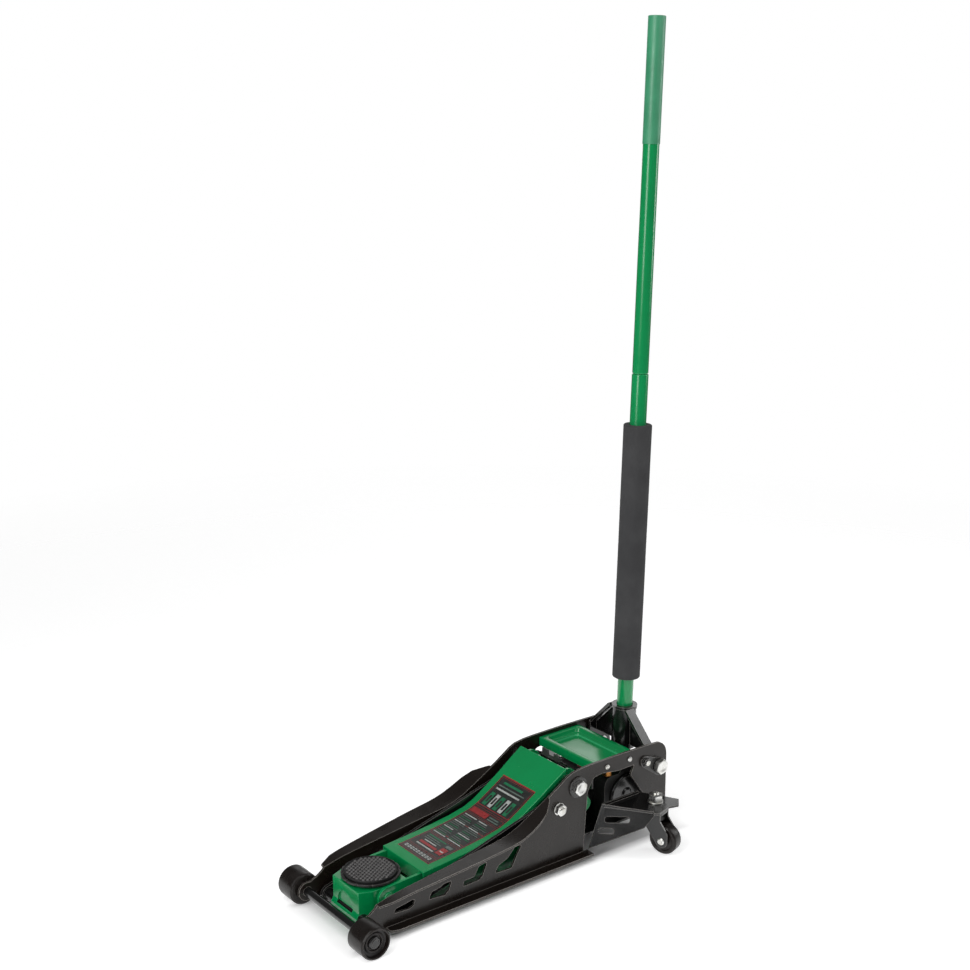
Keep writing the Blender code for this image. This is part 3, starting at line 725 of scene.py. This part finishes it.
def make_caster_race(side):
    """Two pressed cups with a narrow waist between them."""
    node = "caster_race_" + side
    bottom, top = bottom_and_top(node)
    profile = round_corners([
        (6.4, bottom), (18, bottom, 0.5), (21, bottom + 2, 1.2), (20.6, bottom + 4.2, 0.8),
        (17.6, bottom + 5.4, 0.4), (17.6, bottom + 6.4, 0.4), (20, top - 2.6, 0.6), (20, top, 0.5),
        (6.4, top),
    ], 3)
    turned(node + "_cups", profile, swivel_foot(side), Z, STEEL, stands_for=node, segments=56)


def make_caster_wheel(side):
    """A tyre with a dished face on both sides, and the riveted pin that it turns on."""
    node = "caster_wheel_" + side
    joint = JOINTS["caster_roll_" + side]
    centre = Vector(joint["pos_m"])
    axis = Vector(joint["axis"])
    start, end, radius = measured(node, centre, axis)
    face = [
        (4.4, 0), (8.6, 0, 0.6), (9.4, 3.4, 1.0), (19, 3.6, 1.2), (21.0, 1.9, 0.8), (25.0, 1.7, 1.0),
        (radius - 0.2, 4.2, 1.8),
    ]
    near = [(f[0], start + f[1], *f[2:]) for f in face]
    far = [(f[0], end - f[1], *f[2:]) for f in reversed(face)]
    profile = round_corners(near + [(radius, 0)] + far, 4)
    turned(node + "_roller", profile, centre, axis, WHEEL, stands_for=node, segments=80)
    pin = "caster_axle_" + side
    start, end, radius = measured(pin, centre, axis)
    profile = round_corners([
        (0, start), (4.6, start, 0.8), (radius, start + 1.2, 0.7), (radius, start + 2.3), (4, start + 2.3),
        (4, end - 2.3), (radius, end - 2.3), (radius, end - 1.2, 0.7), (4.6, end, 0.8), (3.4, end, 0.3),
        (2.4, end - 0.8, 0.3), (0, end - 0.8),
    ], 3)
    turned(pin + "_rivet", profile, centre, axis, ZINC, stands_for=pin, segments=40)


# -------------------- lift arm and saddle

def make_arm():
    dressed("lift_arm", GREEN, width=1.0, segments=3)
    dressed("arm_top_panel", GREEN, width=2.4, segments=4)
    dressed("saddle_bracket", GREEN, width=3.0, segments=4)
    for side in SIDES:
        dressed("level_link_" + side, DEEP_BLACK, width=0.8)
    make_pins()
    make_saddle()
    make_pad()
    make_label()


def make_bar(node, name, material, corners, segments=40):
    """A pin or shaft along X; corners(start, end, radius) gives its outline."""
    centre = middle(node)
    profile = round_corners(corners(*measured(node, centre, X)), 3)
    turned(name, profile, centre, X, material, stands_for=node, segments=segments)


def make_pins():
    """The pins and shafts across the arm, most of them hidden between its cheeks."""
    roller_half = 22     # half the width of the crosshead's roller

    def headed(start, end, radius):
        return [
            (0, start), (radius, start, 1.2), (radius, start + 3.4, 0.3), (9, start + 3.6), (9, end - 3.6),
            (radius, end - 3.4, 0.3), (radius, end, 1.2), (0, end),
        ]

    def plug(start, end, radius):
        return [(0, start), (radius, start, 1), (radius, end, 1), (0, end)]

    def crosshead(start, end, radius):
        return [
            (0, start), (8, start, 0.8), (8, -roller_half), (radius, -roller_half, 0.8),
            (radius, roller_half, 0.8), (8, roller_half), (8, end, 0.8), (0, end),
        ]

    def shaft(start, end, radius):
        return [(0, start), (radius, start, 0.6), (radius, end, 0.6), (0, end)]

    make_bar("link_pin", "link_pin_bar", DEEP_BLACK, headed, segments=48)
    for side in SIDES:
        make_bar("saddle_pin_" + side, "saddle_pin_%s_plug" % side, GREEN, plug)
    make_bar("crosshead_pin", "crosshead_roller", STEEL, crosshead)
    make_bar("arm_shaft", "arm_shaft_bar", STEEL, shaft, segments=48)


NOTCH_COUNT = 12
NOTCH_SHARE = 0.22       # how much of the rim the notches take up
NOTCH_DEPTH = 1.6        # into the rim, in millimetres
NOTCH_DROP = 0.9         # down from the rim's top, in millimetres


def make_saddle():
    """The cast dish under the pad, its rim cut by shallow notches."""
    low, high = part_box("saddle")
    bottom, top = bottom_and_top("saddle")
    rim = (high[0] - low[0]) / 2 / MM

    def notched(radius, along, angle):
        if radius < rim - 3:
            return radius, along
        away = abs((angle * NOTCH_COUNT / (2 * math.pi)) % 1.0 - 0.5) * 2
        depth = max(0.0, 1.0 - away / NOTCH_SHARE)
        drop = NOTCH_DROP * depth if along > top - 3 else 0.0
        return radius - NOTCH_DEPTH * depth, along - drop

    profile = round_corners([
        (0, bottom), (12, bottom, 1), (12, top - 7.5, 2), (46, top - 7.5, 2), (rim, top - 3.8, 1.0),
        (rim, top, 1.1), (rim - 3.4, top, 0.8), (rim - 4.8, top - 2.5, 0.4), (0, top - 2.5),
    ], 4)
    turned(
        "saddle_dish", profile, upright("saddle_pad"), Z, CASTING,
        stands_for="saddle", segments=144, ripple=notched,
    )


STUD_PITCH = 7.2
STUD_RADIUS = 3.0
STUD_HEIGHT = 2.5
STUD_ROOT = 0.1          # how far a stud reaches into the pad
STUD_SPOKES = 14
STUD_RINGS = 4
PAD_RIM = 1.4            # width of the pad's plain rim


def stud_places(radius):
    """Places in rows offset by half a pitch, as far as the pad's plain rim."""
    row_step = STUD_PITCH * math.sqrt(3) / 2
    rows = int(radius / row_step) + 1
    for row in range(-rows, rows + 1):
        for column in range(-rows - 1, rows + 2):
            place = ((column + 0.5 * (row % 2)) * STUD_PITCH, row * row_step)
            if math.hypot(*place) < radius - STUD_RADIUS:
                yield place


def add_stud(points, faces, base, place, floor):
    """Adds one low dome, closed underneath, to a mesh's points and faces."""
    start = len(points)
    rise = STUD_HEIGHT + STUD_ROOT
    for k in range(STUD_RINGS):
        angle = math.pi / 2 * k / STUD_RINGS
        radius = STUD_RADIUS * math.cos(angle)
        z = floor - STUD_ROOT + rise * math.sin(angle)
        for i in range(STUD_SPOKES):
            turn = 2 * math.pi * i / STUD_SPOKES
            x = place[0] + radius * math.cos(turn)
            y = place[1] + radius * math.sin(turn)
            points.append(base + Vector((x, y, z)) * MM)
    points.append(base + Vector((place[0], place[1], floor + STUD_HEIGHT)) * MM)
    for k in range(STUD_RINGS - 1):
        lower = start + k * STUD_SPOKES
        upper = lower + STUD_SPOKES
        for i in range(STUD_SPOKES):
            j = (i + 1) % STUD_SPOKES
            faces.append([lower + i, lower + j, upper + j, upper + i])
    last = start + (STUD_RINGS - 1) * STUD_SPOKES
    for i in range(STUD_SPOKES):
        faces.append([last + i, last + (i + 1) % STUD_SPOKES, len(points) - 1])
    faces.append([start + i for i in reversed(range(STUD_SPOKES))])


def make_pad():
    """The rubber pad: a disc with a rolled rim, covered by rows of round studs."""
    low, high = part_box("saddle_pad")
    base = upright("saddle_pad")
    radius = (high[0] - low[0]) / 2 / MM
    bottom, top = bottom_and_top("saddle_pad")
    floor = top - STUD_HEIGHT
    profile = round_corners([
        (0, bottom), (radius, bottom, 0.5), (radius, top - 0.8, 1.0), (radius - PAD_RIM, top - 0.8, 0.5),
        (radius - 2.0, floor, 0.2), (0, floor),
    ], 4)
    turned("saddle_pad_disc", profile, base, Z, RUBBER, stands_for="saddle_pad", segments=96)
    points = []
    faces = []
    for place in stud_places(radius - PAD_RIM):
        add_stud(points, faces, base, place, floor)
    mesh = mesh_from("saddle_pad_studs", points, faces, sharp=60)
    # the studs' paler rubber is a painted highlight on their tops
    add_piece("saddle_pad_studs", mesh, [STUDS_PAINTED_HIGHLIGHT], "saddle")


LABEL_HALF = 46.5
LABEL_FRONT = 21.5       # from the panel's front edge to the label, in millimetres
LABEL_LENGTH = 238.0
LABEL_LIFT = 0.25        # height of the label's lowest layer above the panel
LAYER_LIFT = 0.012       # height of each block above the one before it
LABEL_STEP = 4.0         # longest piece of a block that stays flat over the curved panel
BORDER = 0.9             # width of the red line round the label
FRAME_INSET = 3.5
FRAME_LINE = 0.6
INKS = {
    "black": LABEL_BLACK, "red": LABEL_RED, "white": LABEL_WHITE, "grey": LABEL_GREY, "green": LABEL_GREEN,
}


def bordered(half, start, end, line):
    """A red block with a black one inside it, so that a red line is left all round."""
    return [("red", -half, half, start, end), ("black", line - half, half - line, start + line, end - line)]


def label_blocks():
    """(ink, across from, across to, along from, along to) blocks in millimetres, front to back."""
    blocks = bordered(LABEL_HALF, 0, LABEL_LENGTH, BORDER)
    for start, end in [(4, 19), (22, 66), (69, 150), (153, 168), (171, 234)]:
        blocks += bordered(LABEL_HALF - FRAME_INSET, start, end, FRAME_LINE)
    for i in range(9):
        shift = 8.6 * i
        blocks.append(("white", -38 + shift, -32.2 + shift, 8, 15))
        blocks.append(("black", -36.6 + shift, -33.6 + shift, 10, 13))
    blocks += [
        ("white", -30, 18, 28, 31), ("red", -30, 18, 34, 40), ("white", -26, 8, 43, 45.5),
        ("grey", -34, 14, 49, 51), ("grey", -34, 4, 54, 56), ("green", -34, 16, 59, 62),
        ("red", 22, 38, 30, 50), ("white", 25, 35, 38, 41), ("grey", 22, 38, 53, 60),
    ]
    for i in range(16):
        start = 72.5 + 4.7 * i
        ink = "white" if i % 5 == 0 else "green" if i % 3 == 1 else "grey"
        thick = 2.3 if i % 5 == 0 else 1.5
        blocks.append((ink, -40, -6 - 4 * (i * 7 % 3), start, start + thick))
        blocks.append((ink, 1, 39 - 5 * (i * 5 % 4), start, start + thick))
    blocks += [("red", -42, 4, 155, 166), ("grey", 8, 38, 156, 158.5), ("grey", 8, 34, 161, 163.5)]
    for i in range(5):
        shift = 15 * i
        blocks.append(("white" if i % 2 else "green", -36 + shift, -26 + shift, 178, 204))
        blocks.append(("black", -33.5 + shift, -28.5 + shift, 184, 198))
    blocks += [("white", -36, 30, 211, 214), ("grey", -36, 36, 218, 220), ("green", -30, 24, 224, 228)]
    return blocks


def panel_heights():
    """A function that gives the height of the arm's cover over the middle line at any y."""
    shape = bmesh.new()
    shape.from_mesh(frame["nodes"]["arm_top_panel"].data)
    tree = BVHTree.FromBMesh(shape)
    shape.free()
    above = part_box("arm_top_panel")[1][2] + 0.05

    def height(y):
        return tree.ray_cast(Vector((0.0, y, above)), -Z)[0].z

    return height


def make_label():
    """A printed panel label of plain blocks and bars, laid on the arm's cover."""
    height = panel_heights()
    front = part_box("arm_top_panel")[0][1]
    points = []
    faces = []
    inks = []
    names = list(INKS)
    for level, (ink, x0, x1, y0, y1) in enumerate(label_blocks()):
        rows = max(1, math.ceil((y1 - y0) / LABEL_STEP))
        lift = (LABEL_LIFT + LAYER_LIFT * level) * MM
        start = len(points)
        for k in range(rows + 1):
            y = front + (LABEL_FRONT + y0 + (y1 - y0) * k / rows) * MM
            z = height(y) + lift
            points += [(x0 * MM, y, z), (x1 * MM, y, z)]
        for k in range(rows):
            a = start + 2 * k
            faces.append([a, a + 1, a + 3, a + 2])
            inks.append(names.index(ink))
    mesh = bpy.data.meshes.new("arm_label")
    mesh.from_pydata(points, [], faces)
    mesh.shade_smooth()
    add_piece("arm_label", mesh, list(INKS.values()), "lift_arm")
    for polygon, ink in zip(mesh.polygons, inks):
        polygon.material_index = ink


# -------------------- hydraulic unit

SIDE_CAP_AHEAD = 38      # from the pump block's rear face, in millimetres
SIDE_CAP_ABOVE = 41      # from its underside
PLUG_BESIDE = -3         # from the middle plane
PLUG_BELOW = 9           # from its top


def make_unit():
    make_pump_block()
    make_ram_and_tank()
    dressed("ram_piston", STEEL, width=1.0, segments=3)
    make_plungers()
    dressed("release_valve", STEEL, width=0.5)
    make_fittings()


def make_pump_block():
    """The cast block with a round cap on each side and a filler plug in front."""
    dressed("pump_block", CASTING, width=2.0, segments=3)
    low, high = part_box("pump_block")
    face = high[0] / MM
    start = Vector((0, high[1] - SIDE_CAP_AHEAD * MM, low[2] + SIDE_CAP_ABOVE * MM))
    cap = round_corners([
        (0, face - 1), (40, face - 1), (40, face + 6, 2), (36.5, face + 8, 1.5), (34, face + 4.5, 1),
        (12, face + 3.5, 2), (8, face + 6.5, 1), (0, face + 6.5),
    ], 4)
    for side, sign in SIDES.items():
        turned("pump_side_cap_" + side, cap, start, X * sign, DEEP_BLACK)
    plug = round_corners([(0, -1), (7, -1), (7, 5, 1), (5.5, 8, 1.5), (0, 8)], 4)
    start = Vector((PLUG_BESIDE * MM, low[1], high[2] - PLUG_BELOW * MM))
    turned("filler_plug", plug, start, -Y, RED, segments=36)


def make_ram_and_tank():
    """The ram's tube, open in front for the piston, inside the tank's sleeve."""
    centre = middle("ram_cylinder")
    start, end, radius = measured("ram_cylinder", centre, Y)
    profile = round_corners([
        (13.4, start), (18, start, 0.8), (radius, start + 3, 1), (radius, end, 1), (0, end), (0, end - 5),
        (13.4, end - 5),
    ], 3)
    turned("ram_cylinder_tube", profile, centre, Y, CASTING, stands_for="ram_cylinder", segments=64)
    centre = middle("reservoir_tank")
    start, end, radius = measured("reservoir_tank", centre, Y)
    profile = round_corners([
        (22.9, start), (30, start, 1.5), (radius, start + 3, 2), (radius, end, 1), (22.9, end),
    ], 4)
    turned("reservoir_sleeve", profile, centre, Y, DEEP_BLACK, stands_for="reservoir_tank")


def make_plungers():
    """Two ground rods with a wider head, one on each side of the ram."""
    head = 3.2
    for side in SIDES:
        node = "pump_plunger_" + side
        centre = middle(node)
        start, end, radius = measured(node, centre, Y)
        profile = round_corners([
            (0, start), (7, start, 0.6), (7, end - head), (radius, end - head, 0.5), (radius, end, 1),
            (0, end),
        ], 3)
        turned(node + "_rod", profile, centre, Y, STEEL, stands_for=node, segments=40)


def make_fittings():
    """A brass hexagon and a red cap on top of the pump block."""
    bottom, top = bottom_and_top("brass_plug")
    base = upright("brass_plug") + Z * bottom * MM
    hex_head("brass_plug_hexagon", base, Z, 16, top - bottom, BRASS, stands_for="brass_plug")
    bottom, top = bottom_and_top("relief_cap")
    profile = round_corners([(0, bottom), (7, bottom, 0.4), (7, top - 3, 1), (5, top, 1.2), (0, top)], 4)
    turned("relief_cap_dome", profile, upright("relief_cap"), Z, RED, stands_for="relief_cap", segments=40)


def rounded_ring(half_width, front, back, radius, z, steps=6):
    corners = [
        (half_width, front, radius), (half_width, back, radius), (-half_width, back, radius),
        (-half_width, front, radius),
    ]
    return [Vector((x, y, z)) * MM for x, y in round_corners(corners, steps)]


def make_tray():
    """The pressed tool tray: a turned-down skirt, a flat rim and a pan with one step in its wall.

    Its outline gives (inset, corner radius, height), from under the pan out to the skirt and back in."""
    low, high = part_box("tool_tray")
    half = high[0] / MM
    front = low[1] / MM
    back = high[1] / MM
    foot, top = bottom_and_top("tool_tray")
    outline = [
        (20, 5, top - 14.5), (18, 7, top - 14.5), (17, 7, top - 9.5), (12, 8, top - 8.5), (9.5, 9, top - 2),
        (2, 3, top - 1.6), (2, 3, foot), (0, 2, foot), (0, 2, top - 1.4), (0.4, 2, top - 0.5), (1.4, 2, top),
        (9.4, 9, top), (10.5, 9, top - 0.4), (11.3, 8.5, top - 1.6), (12.4, 8, top - 6.6),
        (13.2, 8, top - 7.4), (16.2, 7, top - 7.7), (17.2, 7, top - 8.3), (18.2, 6, top - 11.9),
        (19.2, 6, top - 12.6), (21, 5, top - 12.8),
    ]
    rings = [
        rounded_ring(half - inset, front + inset, back - inset, radius, z) for inset, radius, z in outline
    ]
    count = len(rings[0])
    points = [point for ring in rings for point in ring]
    faces = [list(range(count)), list(range(len(points) - count, len(points)))]
    for k in range(len(rings) - 1):
        for i in range(count):
            j = (i + 1) % count
            faces.append([k * count + i, k * count + j, (k + 1) * count + j, (k + 1) * count + i])
    mesh = mesh_from("tool_tray_pressing", points, faces, sharp=50)
    add_skin("tool_tray_pressing", mesh, GREEN, "tool_tray")


# -------------------- handle

def make_handle():
    """The yoke, the two tubes with their stepped joint, the top sleeve and the foam grip."""
    dressed("handle_yoke", DEEP_BLACK, width=0.9, segments=3)
    joint = JOINTS["handle_twist"]
    foot = Vector(joint["pos_m"])
    axis = Vector(joint["axis"]).normalized()
    start, neck, radius = measured("handle_lower", foot, axis)
    profile = round_corners([
        (13, start), (radius, start, 0.6), (radius, neck - 1, 1.0), (14.0, neck, 0.5), (13, neck),
    ], 4)
    turned("handle_lower_tube", profile, foot, axis, GREEN, stands_for="handle_lower", segments=96)
    start, end, radius = measured("handle_upper", foot, axis)
    profile = round_corners([
        (11, start), (12.6, start, 0.6), (12.6, neck + 0.5), (13.4, neck + 0.5, 0.3),
        (radius, neck + 2.2, 1.0), (radius, end), (11, end),
    ], 4)
    turned("handle_upper_tube", profile, foot, axis, GREEN, stands_for="handle_upper", segments=96)
    start, end, radius = measured("top_grip", foot, axis)
    profile = round_corners([
        (15, start), (radius, start, 0.25), (radius, end - 1, 1.4), (0, end), (0, end - 3.5),
        (15, end - 3.5),
    ], 4)
    turned("top_grip_sleeve", profile, foot, axis, SLEEVE, stands_for="top_grip", segments=96)
    make_foam(foot, axis)


FOAM_ROWS = 60
FOAM_WAVE = 0.12         # the foam's skin dips by up to twice this, in millimetres


def make_foam(foot, axis):
    """A thick foam sleeve with soft ends and slightly uneven skin."""
    start, end, radius = measured("foam_grip", foot, axis)
    bore = 15.6
    corners = [(bore, start, 1.0), (radius, start, 2.6)]
    for k in range(1, FOAM_ROWS):
        corners.append((radius, start + (end - start) * k / FOAM_ROWS))
    corners += [(radius, end, 2.6), (bore, end, 1.0)]

    def uneven(r, along, angle):
        if r < radius - 0.5:
            return r, along
        wave = math.sin(along / 37.0) * math.cos(2 * angle + along / 90.0)
        return r - FOAM_WAVE + FOAM_WAVE * wave, along

    sleeve = turned(
        "foam_sleeve", round_corners(corners, 4), foot, axis, FOAM,
        stands_for="foam_grip", segments=96, ripple=uneven,
    )


# -------------------- studio

CAMERA_AZIMUTH = math.radians(52.7)
CAMERA_PITCH = math.radians(14.08)
CAMERA_ROLL = math.radians(-0.21)
CAMERA_PLACE = Vector((1.9796, -1.5268, 1.3416))
CAMERA_LENS = 55.94
SENSOR_WIDTH = 36
ROOM_LIGHT = 0.12
LIGHT_TARGET = Vector((0, 0, 0.45))
FLOOR_RADIUS = 5.0
FLOOR_DROP = 0.0003          # the floor lies this far under the wheels, so that nothing coincides with it
FLOOR_GLOW = 0.6
FLOOR_FADE = (0.9, 3.2)      # distances from the middle at which the floor starts and ends to fade
FOOTPRINT = (0.10, 0.36)     # half sizes of the floor that lies in the jack's own shade, in metres
FOOTPRINT_EDGE = (0.85, 1.1)  # where the shade's edge starts and ends, as shares of the footprint


def heading(azimuth, elevation):
    """The direction to a place; azimuth 0 is in front of the saddle, 90 degrees on the jack's +X side."""
    level = math.cos(elevation)
    return Vector((math.sin(azimuth) * level, -math.cos(azimuth) * level, math.sin(elevation)))


def make_camera():
    roll = CAMERA_ROLL
    back = heading(CAMERA_AZIMUTH, CAMERA_PITCH)
    level = Vector((math.cos(CAMERA_AZIMUTH), math.sin(CAMERA_AZIMUTH), 0))
    upward = back.cross(level)
    right = level * math.cos(roll) + upward * math.sin(roll)
    up = upward * math.cos(roll) - level * math.sin(roll)
    data = bpy.data.cameras.new("camera")
    data.lens = CAMERA_LENS
    data.sensor_width = SENSOR_WIDTH
    camera = bpy.data.objects.new("camera", data)
    bpy.context.scene.collection.objects.link(camera)
    placing = Matrix((right, up, back)).transposed().to_4x4()
    placing.translation = CAMERA_PLACE
    camera.matrix_world = placing
    bpy.context.scene.camera = camera


def area_light(name, azimuth, elevation, distance, size, energy, tall=None):
    """A soft box that looks at the jack, hidden from the camera."""
    offset = heading(math.radians(azimuth), math.radians(elevation))
    data = bpy.data.lights.new(name, "AREA")
    data.shape = "RECTANGLE"
    data.size = size
    data.size_y = tall or size
    data.energy = energy
    light = bpy.data.objects.new(name, data)
    bpy.context.scene.collection.objects.link(light)
    light.location = LIGHT_TARGET + offset * distance
    light.rotation_euler = offset.to_track_quat("Z", "Y").to_euler()
    light.visible_camera = False


def make_lights():
    """A world that is white to the camera and dim as a light, and five soft boxes."""
    world = bpy.data.worlds.new("studio")
    world.use_nodes = True
    tree = world.node_tree
    background = tree.nodes["Background"]
    background.inputs["Color"].default_value = (1.0, 1.0, 1.0, 1.0)
    path = tree.nodes.new("ShaderNodeLightPath")
    strength = tree.nodes.new("ShaderNodeMapRange")
    strength.inputs["To Min"].default_value = ROOM_LIGHT
    strength.inputs["To Max"].default_value = 1.0
    tree.links.new(path.outputs["Is Camera Ray"], strength.inputs["Value"])
    tree.links.new(strength.outputs["Result"], background.inputs["Strength"])
    bpy.context.scene.world = world
    area_light("key", azimuth=10, elevation=68, distance=3.0, size=1.6, energy=26)
    area_light("fill", azimuth=105, elevation=32, distance=3.4, size=1.4, energy=10)
    area_light("rim", azimuth=158, elevation=24, distance=3.0, size=0.9, energy=26, tall=2.4)
    area_light("strip", azimuth=20, elevation=26, distance=2.6, size=1.0, energy=34, tall=2.1)
    area_light("sheen", azimuth=232.7, elevation=16, distance=3.4, size=2.4, energy=9, tall=1.1)


def floor_finish():
    """White paper that fades out far from the jack and glows a little outside the jack's own shade."""
    finish = Finish("floor_paper", (0.86, 0.86, 0.86), 0.9, specular=0.1)
    finish.set("Emission Color", (1.0, 1.0, 1.0, 1.0))
    finish.mottle(1.5, (0.84, 0.84, 0.84))
    parts = finish.node("ShaderNodeSeparateXYZ")
    larger = finish.node("ShaderNodeMath", operation="MAXIMUM")
    spread = finish.node("ShaderNodeVectorMath", operation="ABSOLUTE")
    finish.link(finish.place((1 / FOOTPRINT[0], 1 / FOOTPRINT[1], 0)), spread.inputs[0])
    finish.link(spread.outputs["Vector"], parts.inputs["Vector"])
    finish.link(parts.outputs["X"], larger.inputs[0])
    finish.link(parts.outputs["Y"], larger.inputs[1])
    glow = finish.remap(larger.outputs["Value"], *FOOTPRINT_EDGE, 0.0, FLOOR_GLOW)
    finish.link(glow, finish.shader.inputs["Emission Strength"])
    distance = finish.node("ShaderNodeVectorMath", operation="LENGTH")
    finish.link(finish.place(), distance.inputs[0])
    fade = finish.remap(distance.outputs["Value"], *FLOOR_FADE, 1.0, 0.0)
    finish.link(fade, finish.shader.inputs["Alpha"])
    return finish.material


def make_floor():
    """A pale disc whose rim melts into the background."""
    segments = 96
    points = []
    for i in range(segments):
        angle = 2 * math.pi * i / segments
        points.append((FLOOR_RADIUS * math.cos(angle), FLOOR_RADIUS * math.sin(angle), -FLOOR_DROP))
    mesh = bpy.data.meshes.new("floor")
    mesh.from_pydata(points, [], [list(range(segments))])
    floor = bpy.data.objects.new("floor", mesh)
    bpy.context.scene.collection.objects.link(floor)
    mesh.materials.append(floor_finish())


bpy.context.scene.view_settings.view_transform = "Standard"
make_camera()
make_plates()
make_front_axle()
make_front_wheels()
make_arm_bolts()
make_link_bolts()
make_yoke_bolts()
make_stop_screws()
make_tray_screws()
make_casters()
make_arm()
make_unit()
make_tray()
make_handle()
make_lights()
make_floor()
